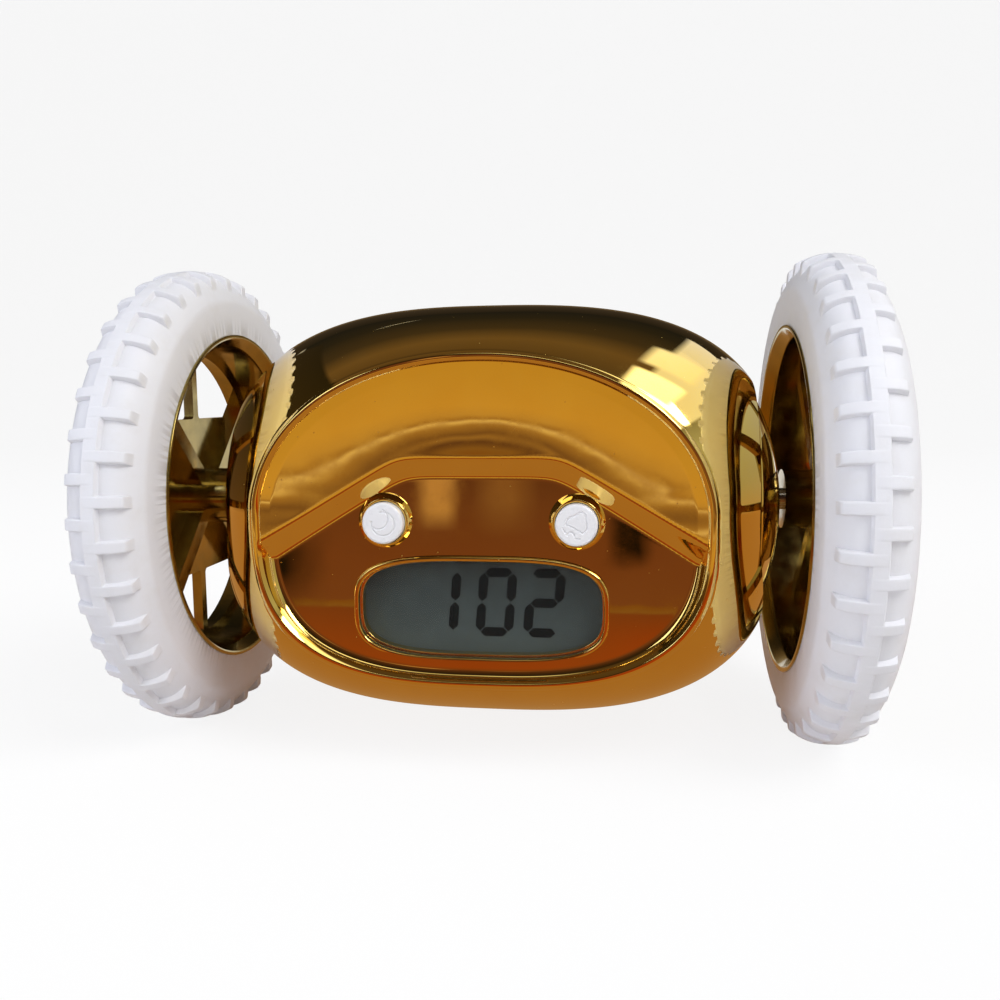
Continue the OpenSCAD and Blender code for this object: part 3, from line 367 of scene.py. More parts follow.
def dial_depth(x, z, inset, dial):
    """Depth of the dial behind its rim. The cove is a quarter ellipse that runs from the rim to
    the flat; the hood sinks from the rim by a parabola of the inset, and gives way to the flat by
    a straight slope with soft ends under the brow's edge, whose corners are rounded."""
    hood_width, corner = 16.5, 1.5
    flat = flat_depth(z, dial)
    u = np.clip((inset - RIM_INSET) / dial.cove, 0, 1)
    cove = RIM_STEP + (flat - RIM_STEP) * np.sqrt(np.clip(1 - (1 - u) ** 2, 0, 1))
    v = np.clip((inset - RIM_INSET) / hood_width, 0, 1)
    hood = RIM_STEP + (dial.hood - RIM_STEP) * (1 - (1 - v) ** 2)
    fall, top = math.radians(dial.brow_fall), z - dial.brow_height
    side = (np.abs(x) - dial.brow_width / 2) * math.sin(fall) + top * math.cos(fall)
    beyond = np.logaddexp(side * corner, top * corner) / corner
    v = -beyond / dial.brow_slope + 0.12
    share = (np.logaddexp(0, v * 22) - np.logaddexp(0, (v - 1) * 22)) / 22
    brow = hood + (np.maximum(flat, hood) - hood) * share
    return -np.logaddexp(-cove * 5, -brow * 5) / 5


def casing_skin(body, rings, round_top=0.0, count=360):
    """Closed skin through rings: each ring is the unit curve scaled to its two half axes and set
    at its own Y, so a ring's point is (a u, y, b v - drop). The curve's exponent falls over the
    upper half from the body's to the rim's by the share round_top."""
    a, b, y = (np.array(c, float)[:, None] for c in zip(*rings))
    t = np.linspace(0, 2 * math.pi, count, endpoint=False)
    c, s = np.cos(t), np.sin(t)
    share = np.broadcast_to(round_top, (len(rings),))[:, None] * smooth_step(s * 2 + 0.5)
    power = body.squareness + (body.rim_power - body.squareness) * share
    reach = (np.abs(c) ** power + np.abs(s) ** power) ** (-1 / power)
    return np.stack([a * c * reach, y + 0 * c, b * s * reach - body.drop], -1)


def half_axes(body, y, thin=0.0):
    """Half axes of the ring at a distance y, for the form made smaller all round by thin."""
    share = skin_share(y, body.depth / 2 - thin, body.squareness)
    return (body.width / 2 - thin) * share, (body.height / 2 - thin) * share


def front_casing_grid(body, dial):
    """Front shell: the dial from its middle out to the rim, the rim's lip, the outer skin back to
    the seam, and the inner skin forward to the wall behind the dial."""
    rim_y = dial.rim - 0.5
    ra, rb = half_axes(body, rim_y)
    cove_end = RIM_INSET + dial.cove
    rings, insets = [], []
    for share in np.concatenate([np.linspace(0, 0.25, 5), np.linspace(0.25, 1, 76)[1:]]):
        rings.append(((ra - cove_end) * share, (rb - cove_end) * share, 0))
        insets.append(cove_end + (rb - cove_end) * (1 - share))
    for i in cove_end - np.linspace(0, dial.cove, 26)[1:]:
        rings.append((ra - i, rb - i, 0))
        insets.append(i)
    dish = casing_skin(body, rings, 1.0)
    inset = np.array(insets)[:, None] + 0 * dish[..., 0]
    dish[..., 1] = -dial.rim + dial_depth(dish[..., 0], dish[..., 2], inset, dial)
    lip = rounded([[1.75, 0.6], [1.15, 0.02], [0.55, 0.0], [0.0, 0.5], [-0.1, 0.75], [1.75, 5]],
                  [0, 0.35, 0.5, 0.4, 0, 0], 5)
    lip = lip[(lip[:, 1] < 0.6)]
    outer = [(ra - i, rb - i, -dial.rim + d) for i, d in lip]
    for y in -(rim_y - 0.2) * np.cos(np.linspace(0, math.pi / 2, 58)[1:]):
        outer.append((*half_axes(body, min(y, -0.35)), min(y, -0.35)))
    a, b = half_axes(body, 0)
    outer += [(a - 0.04, b - 0.04, -0.16), (a - 0.2, b - 0.2, -0.02)]
    back = -dial.rim + dial.depth + body.wall + 0.6
    for t in np.linspace(0, 1, 22):
        y = back * math.sin(math.pi / 2 * t) - 0.02 * (1 - t)
        a, b = half_axes(body, y, body.wall)
        outer.append((a, b, y))
    outer.append((a * 0.5, b * 0.5, back))
    outer.append((0, 0, back))
    turn = smooth_step((-np.array([y for a, b, y in outer]) - 4) / (rim_y - 5))
    return grid(np.concatenate([dish, casing_skin(body, outer, turn)]), wrap_v=True)


def rear_casing_grid(body):
    """Rear shell: the flat panel from its middle out to its softened edge, the outer skin forward
    to the seam, and the inner skin back to the wall behind the panel."""
    pa, pb = half_axes(body, body.rear - 0.8)
    rings = [((pa - 1.8) * s, (pb - 1.8) * s, body.rear) for s in np.linspace(0, 1, 30)]
    edge = rounded([[6, 0], [1.8, 0.0], [0.5, 0.3], [-0.05, 0.85], [-0.3, 2]], [0, 1.2, 0.5, 0, 0], 6)
    edge = edge[(edge[:, 0] < 1.79) & (edge[:, 1] < 0.8)]
    rings += [(pa - i, pb - i, body.rear - d) for i, d in edge]
    for t in np.linspace(0, 1, 60)[1:]:
        y = max((body.rear - 0.9) * math.cos(math.pi / 2 * t), 0.35)
        rings.append((*half_axes(body, y), y))
    a, b = half_axes(body, 0)
    rings += [(a - 0.04, b - 0.04, 0.16), (a - 0.2, b - 0.2, 0.02)]
    back = body.rear - body.wall
    for t in np.linspace(0, 1, 22):
        y = back * math.sin(math.pi / 2 * t) + 0.02 * (1 - t)
        a, b = half_axes(body, y, body.wall)
        rings.append((a, b, y))
    rings += [(a * 0.5, b * 0.5, back), (0, 0, back)]
    return grid(casing_skin(body, rings), wrap_v=True)


REAR_BUTTONS = ("hour", "minute", "time", "alarm_set")
DOOR = {"x": 24.4, "y": 11.6, "tab": 30.2, "tab_y": 4.0}


def door_outline(gap):
    """Plan of the battery cover, a rounded rectangle with a tab at the right."""
    x, y, tab, ty = DOOR["x"] + gap, DOOR["y"] + gap, DOOR["tab"] + gap, DOOR["tab_y"] + gap
    return rounded([[-x, -y], [x, -y], [x, -ty], [tab, -ty], [tab, ty], [x, ty], [x, y], [-x, y]],
                   [1.2, 1.2, 0, 1, 1, 0, 1.2, 1.2], 5)


def shared_cuts(body):
    """What both shells leave free: the round side openings and the battery opening below."""
    reach = body.width / 2 + 3
    return [bar("x", body.side_bore, 30, reach, -body.drop, 160),
            bar("x", body.side_bore, -reach, -30, -body.drop, 160),
            prism(door_outline(0.15), -60, SHELL_LOW[2] + 6.8, "z")]


def button_collar(at, here, front):
    """Low conical collar round a button, from the flat's depth here up to its rim at front."""
    ring = rounded([[here + 0.6, 3.6], [front, 3.6], [front, 4.0], [here - 0.1, 4.7], [here + 0.6, 5.2]],
                   [0, 0.15, 0.2, 0.5, 0], 6)
    return spin_y(ring, at)


def make_front_casing(body, dial):
    """Front shell with its collars, and with the openings for the display, the buttons, the side
    caps and the battery cover cut out."""
    piece = build("front_casing", [front_casing_grid(body, dial)])
    buttons = [span("snooze_button"), span("alarm_button")]
    spots = [((lo[0] + hi[0]) / 2, (lo[2] + hi[2]) / 2) for lo, hi in buttons]
    collars = []
    for x, z in spots:
        here = flat_depth(z, dial) - dial.rim
        collars.append(button_collar((x, z), here, min(buttons[0][0][1] + 1.5, here - 0.35)))
    combine(piece, build("collars", collars), "UNION")
    play = 0.48  # the opening's edge hides this far under the bezel
    wide, high = ((BEZEL_HIGH[k] - BEZEL_LOW[k]) / 2 - play for k in (0, 2))
    u, v = unit_loop(OVAL, 160)
    window = prism(np.stack([wide * u, high * v + DISPLAY_Z], 1), -40, -15)
    holes = [bar("y", 3.65, -40, -15, spot) for spot in spots]
    combine(piece, build("cuts", shared_cuts(body) + [window] + holes), "DIFFERENCE")
    seat = -dial.rim + dial.depth + body.wall + 0.05
    pockets = [bar("y", 4.9, seat, -15, spot) for spot in spots]
    pockets += [bar("y", 1.3, -9, 1, (k * x, z), 24) for x, z in SCREWS for k in (-1, 1)]
    combine(piece, build("pockets", pockets), "DIFFERENCE")
    return piece


def sound_holes(low, high):
    """Nineteen holes in front of the speaker: one, six and twelve, in rings 3.4 mm apart."""
    lo, hi = span("speaker")
    x, z = (lo[0] + hi[0]) / 2, (lo[2] + hi[2]) / 2
    turns = [(3.4 * k, math.pi / 3 * i / k) for k in (1, 2) for i in range(6 * k)]
    return [bar("y", 0.8, low, high, (x + r * math.cos(t), z + r * math.sin(t)), 20)
            for r, t in [(0, 0)] + turns]


def make_rear_casing(body):
    """Rear shell with its openings for the buttons, the knob, the sound, the screws, the side caps
    and the battery cover cut out."""
    piece = build("rear_casing", [rear_casing_grid(body)])
    low, high = body.rear - body.wall - 1, body.rear + 1
    cuts = shared_cuts(body) + sound_holes(low, high)
    for name in REAR_BUTTONS:
        lo, hi = span(name + "_button")
        cuts.append(bar("y", 2.75, low, high, ((lo[0] + hi[0]) / 2, (lo[2] + hi[2]) / 2)))
    lo, hi = span("run_knob")
    travel = 4.15
    cuts.append(block([lo[0] - 0.15, low, lo[2] - 0.15], [hi[0] + travel, high, hi[2] + 0.15], 0.4))
    combine(piece, build("cuts", cuts), "DIFFERENCE")
    wells = [bar("y", 2.55, 6, 40, (k * x, z), 32) for x, z in SCREWS for k in (-1, 1)]
    combine(piece, build("wells", wells), "DIFFERENCE")
    return piece


def make_screw_tubes(body):
    """Tubes that guide the case screws, standing in the wells behind the skin."""
    tubes = []
    for x, z in SCREWS:
        for k in (-1, 1):
            y = rear_reach(body, x, z)
            ring = np.array([[5.0, 1.4], [5.0, 3.4], [y, 3.4], [y, 2.45], [6.0, 2.45], [6.0, 1.4]])
            tubes.append(spin_y(ring, (k * x, z), 40))
    return build("screw_tubes", tubes)


def rear_reach(body, x, z):
    """Y of the middle of the rear skin above (x, z), less the tube's own slant."""
    thin = body.wall / 2
    a, b, c = body.width / 2 - thin, body.height / 2 - thin, body.depth / 2 - thin
    x, z = x + 2.6, abs(z + body.drop) + 2.6
    rest = 1 - (x / a) ** body.squareness - (z / b) ** body.squareness
    return min(c * max(rest, 0.01) ** (1 / body.squareness), body.rear - body.wall)


def cap_grid(body, side):
    """Side cap: a dome x = base + rise (1 - (r/R)^2)^0.85 on a short wall with a flange inside,
    with a fine groove near its edge, spun about the body's axis."""
    edge, wall, top, inner = 23.8, 1.8, CAP_HIGH[0], CAP_LOW[0]
    groove, near = 21.6, 0.9
    base = body.width / 2 * skin_share(body.side_bore, body.depth / 2, body.squareness) - 1

    def dome(r):
        return base + (top - base) * np.maximum(1 - (r / edge) ** 2, 0) ** 0.85

    r = edge * np.sin(np.linspace(math.pi / 2, 0, 46))
    fine = groove + near * np.linspace(1, -1, 26)
    r = np.concatenate([r[r > groove + near + 0.05], fine, r[r < groove - near - 0.05]])
    outer = np.stack([dome(r) - 0.35 * np.exp(-((r - groove) / 0.22) ** 2), r], 1)
    r = (edge - wall) * np.sin(np.linspace(0, math.pi / 2, 20))
    under = np.stack([dome(r) - wall, r], 1)
    under = under[under[:, 0] > base - wall]
    flange = np.array([[base - wall, edge - wall], [inner, edge - wall], [inner, edge + 1.7],
                       [inner + 1.2, edge + 1.7], [inner + 1.2, edge]])
    profile = np.concatenate([outer, under, flange]) * [side, 1]
    return spin_x(profile, -body.drop, 144)


def make_side_cap(body, name, side):
    """Side cap with a boss round the axle inside and the axle's bore through it."""
    piece = build(name, [cap_grid(body, side)])
    low, high = sorted((side * 41.5, side * 50.8))
    combine(piece, build("boss", [bar("x", 4.2, low, high, 0.0)]), "UNION")
    low, high = sorted((side * 38, side * 56))
    combine(piece, build("bore", [bar("x", AXLE_BORE + 0.03, low, high, 0.0)]), "DIFFERENCE")
    return piece


def cover_grid(body, low, high, steps=(90, 40)):
    """Slab of the lower skin over a rectangle in plan: the outer face lies on the rounded form,
    z = -b (1 - |x/a|^n - |y/c|^n)^(1/n), and the inner one on the form made smaller by the wall."""
    x, y = np.meshgrid(np.linspace(low[0], high[0], steps[0]), np.linspace(low[1], high[1], steps[1]),
                       indexing="ij")

    def skin(thin):
        a, b, c = body.width / 2 - thin, body.height / 2 - thin, body.depth / 2 - thin
        n = body.squareness
        return -b * (1 - (np.abs(x) / a) ** n - (np.abs(y) / c) ** n) ** (1 / n) - body.drop

    outer, inner = np.stack([x, y, skin(0)], -1), np.stack([x, y, skin(body.wall)], -1)
    sides = [np.stack([outer[0], inner[0]]), np.stack([outer[-1], inner[-1]]),
             np.stack([outer[:, 0], inner[:, 0]]), np.stack([outer[:, -1], inner[:, -1]])]
    return [grid(outer), grid(inner)] + [grid(s) for s in sides]


def make_battery_cover(body):
    """Battery cover: a slab of the lower skin cut to the cover's plan, with the screw's hole and
    nine grip grooves."""
    piece = build("battery_cover", cover_grid(body, (-27, -14), (32, 14)))
    combine(piece, build("plan", [prism(door_outline(0.0), -60, -20, "z")]), "INTERSECT")
    lo, hi = span("door_screw")
    at = ((lo[0] + hi[0]) / 2, 0)
    grip = [block([x, -7, -45], [x + 0.55, 7, -37.9]) for x in -21 + 1.1 * np.arange(9)]
    combine(piece, build("screw_hole", [bar("z", 1.05, -50, -20, at, 32)]), "DIFFERENCE")
    combine(piece, build("screw_head", [bar("z", 1.95, -50, lo[2] + 1.2, at, 40)]), "DIFFERENCE")
    combine(piece, build("grip", grip), "DIFFERENCE")
    return piece


def make_cover_screw():
    """Cover screw: a domed head on a shank, spun about Z, with a cross cut into the head."""
    lo, hi = span("door_screw")
    at = ((lo[0] + hi[0]) / 2, (lo[1] + hi[1]) / 2)
    z, r = lo[2], (hi[0] - lo[0]) / 2
    head, shank = z + 1.18, 1.0
    side = rounded([[z, r], [head, r], [head, shank], [hi[2], shank]], [0.35, 0.05, 0, 0.2], 4)
    profile = np.concatenate([[[z, 0]], side, [[hi[2], 0]]])
    piece = build("cover_screw", [spin_z(profile, at)])
    slots = [block([at[0] - 1.2, -0.2, z - 1], [at[0] + 1.2, 0.2, z + 0.7]),
             block([at[0] - 0.2, -1.2, z - 1], [at[0] + 0.2, 1.2, z + 0.7])]
    for slot in slots:
        combine(piece, build("cross", [slot]), "DIFFERENCE")
    return piece


# ---------------------------------------------------------------- display

def make_bezel():
    """Bezel: a profile of (inset, y) carried round the display's oval |x/w|^3.4 + |z/h|^3.4 = 1."""
    wide, high = ((BEZEL_HIGH[k] - BEZEL_LOW[k]) / 2 for k in (0, 2))
    front, back = BEZEL_LOW[1], BEZEL_HIGH[1]
    seat, foot = front + 1.7, front + 3.2
    profile = rounded([[0.0, foot], [0.0, front], [0.85, front], [0.85, seat], [1.15, seat],
                       [1.15, back], [0.5, back], [0.5, foot]],
                      [0, 0.42, 0.36, 0, 0.1, 0, 0, 0], 6)
    u, v = unit_loop(OVAL, 240)
    inset, y = profile[:, :1], profile[:, 1:]
    p = np.stack([(wide - inset) * u, y + 0 * u, (high - inset) * v + DISPLAY_Z], -1)
    return build("bezel", [grid(p, wrap_u=True, wrap_v=True)])


def make_lens():
    """Clear window: a slab with a crown of 0.2 mm across its front, ringed from middle to edge."""
    lo, hi = span("display_window")
    wide, high, centre = (hi[0] - lo[0]) / 2, (hi[2] - lo[2]) / 2, (hi[2] + lo[2]) / 2
    s = np.linspace(0, 1, 14)
    front = np.stack([s, lo[1] + 0.02 + 0.2 * s ** 4], 1)
    back = np.stack([s[::-1], hi[1] + 0 * s], 1)
    u, v = unit_loop(OVAL, 160)
    rows = np.concatenate([front, back])
    p = np.stack([wide * rows[:, :1] * u, rows[:, 1:] + 0 * u, high * rows[:, :1] * v + centre], -1)
    return build("display_lens", [grid(p, wrap_v=True)])


# Dark segments of each digit: a top, b upper right, c lower right, d foot, e lower left, f upper
# left, g middle.
SEGMENTS = {"1": "bc", "0": "abcdef", "2": "abged"}


def bar_outline(start, end, half):
    """A segment's outline: a straight bar whose two ends come to a point."""
    start, end = np.array(start, float), np.array(end, float)
    along = (end - start) / np.linalg.norm(end - start)
    side = np.array([-along[1], along[0]]) * half
    start, end = start + along * 0.12, end - along * 0.12
    return [start, start + along * half + side, end - along * half + side, end,
            end - along * half - side, start + along * half - side]


def make_digits():
    """Dark segments of the time 1 02: thin prisms on the crystal's front, leaning by five degrees."""
    lo, hi = span("lcd_segments")
    middle, wide, high, half = (lo[2] + hi[2]) / 2, 2.45, 5.15, 0.8
    ends = {"a": ((-wide, high), (wide, high)), "b": ((wide, high), (wide, 0)),
            "c": ((wide, 0), (wide, -high)), "d": ((-wide, -high), (wide, -high)),
            "e": ((-wide, 0), (-wide, -high)), "f": ((-wide, high), (-wide, 0)),
            "g": ((-wide, 0), (wide, 0))}
    bars = []
    for digit, x in (("1", -7.2), ("0", 2.4), ("2", 10.6)):
        for key in SEGMENTS[digit]:
            outline = np.array(bar_outline(*ends[key], half))
            outline[:, 0] += x + outline[:, 1] * math.tan(math.radians(5))
            bars.append(prism(outline + [0, middle], lo[1], hi[1]))
    return build("crystal_digits", bars, 20)


# ---------------------------------------------------------------- buttons

def stroke_distance(x, z, strokes):
    """Least distance from each point to any straight piece of the strokes."""
    best = np.full(x.shape, 1e9)
    for line in strokes:
        for (ax, az), (bx, bz) in zip(line[:-1], line[1:]):
            dx, dz = bx - ax, bz - az
            t = np.clip(((x - ax) * dx + (z - az) * dz) / (dx * dx + dz * dz), 0, 1)
            best = np.minimum(best, np.hypot(x - ax - t * dx, z - az - t * dz))
    return best


def arc(cx, cz, r, start, end, count=14):
    """Points on an arc, in degrees anticlockwise from the right."""
    t = np.radians(np.linspace(start, end, count))
    return list(zip(cx + r * np.cos(t), cz + r * np.sin(t)))


MOON = [arc(0.1, -0.1, 2.0, 100, -190, 26), arc(-0.75, 0.75, 1.75, 57, -129, 16)]
BELL = [[(-1.75, 0.1), (-1.45, 0.95), (-0.95, 1.35), (-0.1, 1.65), (0.45, 2.05), (0.95, 2.2),
         (1.45, 1.8), (1.5, 1.0), (1.7, 0.2), (1.65, -0.7), (1.05, -1.35)],
        [(-1.75, 0.1), (-0.6, -0.35), (0.3, -0.9), (1.05, -1.35)],
        arc(-0.95, -1.75, 0.6, 170, 5, 9), [(-2.2, -0.55), (-1.85, -1.15)], [(-0.05, -2.2), (0.5, -2.25)]]


def button_grid(node, radius, strokes, front, flange_at, stem):
    """Button cap spun about Y: the face is a disc of rings whose edge falls away by a quarter
    circle, and the icon is a groove of 0.16 mm with sloping sides along its strokes."""
    lo, hi = span(node)
    at = ((lo[0] + hi[0]) / 2, (lo[2] + hi[2]) / 2)
    ahead = lo[1] if front else hi[1]
    sign = 1 if front else -1
    r = np.concatenate([np.linspace(0, radius - 0.45, 58), radius - 0.45 + 0.45 * np.sin(
        np.linspace(0, math.pi / 2, 7))[1:]])
    fall = np.concatenate([np.zeros(58), 0.45 * (1 - np.cos(np.linspace(0, math.pi / 2, 7)))[1:]])
    t = np.linspace(0, 2 * math.pi, 200, endpoint=False)
    x, z = r[:, None] * np.cos(t), r[:, None] * np.sin(t)
    y = ahead + sign * (fall[:, None] + 0 * x)
    if strokes:
        y = y + sign * 0.16 * (1 - smooth_step((stroke_distance(x, z, strokes) - 0.05) / 0.16))
    face = np.stack([x + at[0], y, z + at[1]], -1)
    behind = hi[1] if front else lo[1]
    seat = flange_at
    wide = (hi[0] - lo[0]) / 2
    rest = np.array([[seat, radius], [seat, wide], [seat + sign * 0.6, wide],
                     [seat + sign * 0.6, stem], [behind, stem], [behind, 0]])
    depth, reach = rest[:, :1], rest[:, 1:]
    tail = np.stack([reach * np.cos(t) + at[0], depth + 0 * t, reach * np.sin(t) + at[1]], -1)
    return grid(np.concatenate([face, tail]), wrap_v=True)


def make_run_knob():
    """Sliding knob: a rounded block with three ribs across its face."""
    lo, hi = span("run_knob")
    piece = build("run_knob_grip", [block(lo, hi, 0.25)])
    cuts = [block([x - 0.14, hi[1] - 0.3, lo[2] - 1], [x + 0.14, hi[1] + 1, hi[2] + 1])
            for x in np.linspace(lo[0], hi[0], 5)[1:-1]]
    combine(piece, build("ribs", cuts), "DIFFERENCE")
    return piece


# ---------------------------------------------------------------- wheels

def edge_fall(distance, half, round_off=0.35):
    """1 inside a lug's edge and 0 outside, with the top edge rounded by a third power."""
    v = np.clip((distance - (half - round_off)) / round_off, 0, 1)
    return 1 - v ** 3


def tyre_grid(wheel, side):
    """Tyre: a closed cross section of (x, r) spun about the axle. The tread's floor falls away from
    its middle by a power of the distance, r = floor - 5 (|x - mid| / half)^3.2, and so does the
    crown over the lugs, r = top - 1.1 (|x - mid| / row)^2.4. The radius is lifted from the floor to
    the crown by a mask: across and along each lug it falls off at the edges, for two rows half a
    pitch apart, and over the rib between them it is whole."""
    x0, x1, top = wheel.inner, wheel.outer, wheel.radius
    mid, floor = (x0 + x1) / 2, top - wheel.lug_height
    hollow = top - 4.5

    def ground(x):
        return floor - 5.0 * (np.abs(x - mid) / (x1 - mid)) ** 3.2

    def crown(x):
        return top - 1.1 * (np.abs(x - mid) / 4.8) ** 2.4

    in_end, out_end = x0 + 1.15, x1 - 2.25
    across = np.concatenate([
        x0 + np.array([0.12, 0.3, 0.55, 0.8]),
        in_end + np.array([-0.12, 0.0, 0.04, 0.1, 0.2, 0.35, 0.6]),
        np.arange(in_end + 1.0, mid - 1.9, 0.6),
        mid + np.array([-1.62, -1.5, -1.42, -1.34, -1.25, -1.1, -0.8]),
        [mid], mid + np.array([0.8, 1.1, 1.25, 1.34, 1.42, 1.5, 1.62]),
        np.arange(mid + 2.1, out_end - 0.9, 0.6),
        out_end + np.array([-0.6, -0.35, -0.2, -0.1, -0.04, 0, 0.12]),
        x1 - np.array([1.8, 1.4, 1.0, 0.7, 0.45, 0.28, 0.15, 0.06])])
    skirt = np.stack([across, ground(across)], 1)
    foot = np.array([[x1, 38.0], [x1, wheel.bore + 2.2], [x1 - 0.15, wheel.bore + 2],
                     [x1 - 0.5, wheel.bore + 2], [x1 - 0.5, wheel.bore], [x1 - 2.7, wheel.bore],
                     [x1 - 2.7, hollow - 3.0],
                     [mid, hollow - 1.2], [x0 + 2.2, hollow - 3.0], [x0 + 2.2, wheel.bore]])
    start = np.array([[x0 + 0.25, wheel.bore], [x0, wheel.bore + 0.25], [x0, 36.0], [x0, 38.0]])
    profile = np.concatenate([start, skirt, foot])
    pitch = 2 * math.pi * top / wheel.lugs
    half = wheel.lug_width / 2
    near = half + np.array([-half, -0.55, -0.35, -0.22, -0.12, -0.05, 0, 0.12])
    marks = np.concatenate([near, [pitch / 4], pitch / 2 - near[::-1]])
    marks = np.concatenate([marks, pitch - marks[::-1][1:-1]])
    along = (np.arange(wheel.lugs)[:, None] * pitch + marks).ravel()
    t = along / top - math.pi / 2
    x, r = profile[:, 0], profile[:, 1]

    def row(shift):
        gap = (along - shift + pitch / 2) % pitch - pitch / 2
        return edge_fall(np.abs(gap), half)[:, None]

    on_tread = np.zeros(len(x))
    on_tread[len(start):len(start) + len(skirt)] = 1
    inner = row(0) * edge_fall(-x, -in_end) * (x <= mid)
    outer = row(pitch / 2) * edge_fall(x, out_end) * (x >= mid)
    rib = edge_fall(np.abs(x - mid), 0.5 * wheel.rib + 0.3)
    mask = np.maximum(np.maximum(inner, outer), rib * 0.93) * on_tread
    r = r + (crown(x) - r) * mask
    p = np.stack([side * (x + 0 * r), r * np.cos(t)[:, None], r * np.sin(t)[:, None]], -1)
    return grid(p, wrap_u=True, wrap_v=True)


def hub_windows(side, low, high):
    """Eight windows as two groups whose cuts don't meet: each lies between a chord 15.5 mm from
    the middle and an arc of 28.5 mm, on one side of a rib, with its corners rounded."""
    chord, arc_r, rib = 15.5, 28.5, 1.0
    reach = math.acos(chord / arc_r)
    t = np.linspace(0.036, reach - 0.11, 14)
    far = np.stack([arc_r * np.cos(t), arc_r * np.sin(t)], 1)
    shape = np.concatenate([[[chord, rib]], far, [[chord, arc_r * math.sin(reach) - 3.2]]])
    groups = [[], []]
    for k in range(4):
        t = math.pi / 2 * k
        turn = np.array([[math.cos(t), math.sin(t)], [-math.sin(t), math.cos(t)]])
        for half in (1, -1):
            outline = rounded(shape * [1, half], [0.9] + [0.9] + [0] * 12 + [0.9, 0.9], 4) @ turn
            groups[k % 2].append(prism(outline, *sorted((side * low, side * high)), "x"))
    return groups


def make_hub(wheel, name, side):
    """Hub: a flanged barrel spun about the axle, joined to a web with four divided windows,
    two crossing spokes and a boss."""
    x0, x1, bore = wheel.inner, wheel.outer, wheel.bore
    r, inner = bore - 0.2, bore - 1.7
    web_in, web_out = x1 - 4.1, x1 - 2.1
    barrel = rounded([[x0 + 1.6, inner], [x0 - 0.25, bore - 0.2], [x0 - 0.4, bore + 0.1],
                      [x0 - 0.4, bore + 0.6], [x0, bore + 0.7], [x0, r], [x1 - 0.5, r],
                      [x1 - 0.5, bore + 1], [x1 - 0.1, bore + 1], [x1 - 0.1, inner]],
                     [1.0, 0.15, 0.1, 0.15, 0.1, 0, 0, 0.18, 0.18, 0.2], 4)
    flip = np.array([side, 1])
    piece = build(name, [spin_x(barrel * flip, 0.0, 192)])
    reach = inner + 0.6
    disc = np.array([[web_in, 0], [web_in, reach], [web_out, reach], [web_out, 0]]) * flip
    web = build("web", [spin_x(disc, 0.0, 160)])
    for group in hub_windows(side, web_in - 5, web_out + 2):
        combine(web, build("windows", group), "DIFFERENCE")
    half = 1.5
    for t in (math.pi / 4, 3 * math.pi / 4):
        along = np.array([math.cos(t), math.sin(t)])
        across = np.array([-math.sin(t), math.cos(t)])
        outline = [along * a * reach + across * b * half for a, b in ((-1, -1), (1, -1), (1, 1), (-1, 1))]
        low, high = sorted((side * (web_in - 3), side * (web_in + 0.5)))
        combine(web, build("spoke", [prism(outline, low, high, "x")]), "UNION")
    low, high = sorted((side * x0, side * (web_out - 0.4)))
    combine(web, build("boss", [bar("x", 5.5, low, high, 0.0, 64)]), "UNION")
    low, high = sorted((side * (x0 - 1), side * (web_out - 0.5)))
    combine(web, build("axle_bore", [bar("x", AXLE_BORE, low, high, 0.0)]), "DIFFERENCE")
    combine(piece, web, "UNION", 22.0)
    return piece


def make_hub_cap(name, side):
    """Cap over the axle's end: a short cylinder with a rounded rim and a slightly hollow face."""
    lo, hi = span(("left" if side < 0 else "right") + "_hub_cap")
    a, b = (hi[0], lo[0]) if side < 0 else (lo[0], hi[0])
    r = (hi[2] - lo[2]) / 2
    profile = rounded([[a, 0], [a, r], [b, r], [b, 0]], [0, 0.1, 0.8, 0], 8)
    face = np.abs(profile[:, 0] - b) < 0.1
    profile[:, 0] -= side * 0.25 * np.clip(1 - profile[:, 1] / 4.0, 0, 1) * face
    return build(name, [spin_x(profile, 0.0, 64)])


# ---------------------------------------------------------------- finishes

def node(tree, kind, inputs=None, **settings):
    """Adds a node, sets its properties, and sets or links its inputs."""
    item = tree.nodes.new(kind)
    for key, value in settings.items():
        setattr(item, key, value)
    for key, value in (inputs or {}).items():
        if isinstance(value, bpy.types.NodeSocket):
            tree.links.new(value, item.inputs[key])
        else:
            item.inputs[key].default_value = value
    return item


def per_metre(size_mm):
    """Scale of a noise or a grid whose cells are size_mm wide, on coordinates in metres."""
    return 1000.0 / size_mm


def surface(name, **fixed):
    """A material with a Principled shader whose fixed values sit on its own sockets."""
    material = bpy.data.materials.new(name)
    material.use_nodes = True
    tree = material.node_tree
    tree.nodes.clear()
    shader = node(tree, "ShaderNodeBsdfPrincipled", fixed)
    out = node(tree, "ShaderNodeOutputMaterial")
    tree.links.new(shader.outputs[0], out.inputs[0])
    place = node(tree, "ShaderNodeTexCoord").outputs["Object"]
    return material, tree, shader, place


def blotch(tree, place, size, detail=3.0, rough=0.55):
    """Soft noise with features of a size in millimetres."""
    return node(tree, "ShaderNodeTexNoise", {"Vector": place, "Scale": per_metre(size), "Detail": detail,
                                             "Roughness": rough}).outputs["Fac"]


def spread(tree, value, low, high, out_low, out_high):
    """Maps a range of values to another and holds it at the ends."""
    return node(tree, "ShaderNodeMapRange", {"Value": value, 1: low, 2: high, 3: out_low, 4: out_high}
                ).outputs[0]


def blend(tree, share, first, second):
    """Mixes two colours, given as values or sockets."""
    def full(c):
        return c if isinstance(c, bpy.types.NodeSocket) else (*c, 1.0)
    item = node(tree, "ShaderNodeMix", {0: share, 6: full(first), 7: full(second)}, data_type="RGBA")
    return item.outputs[2]


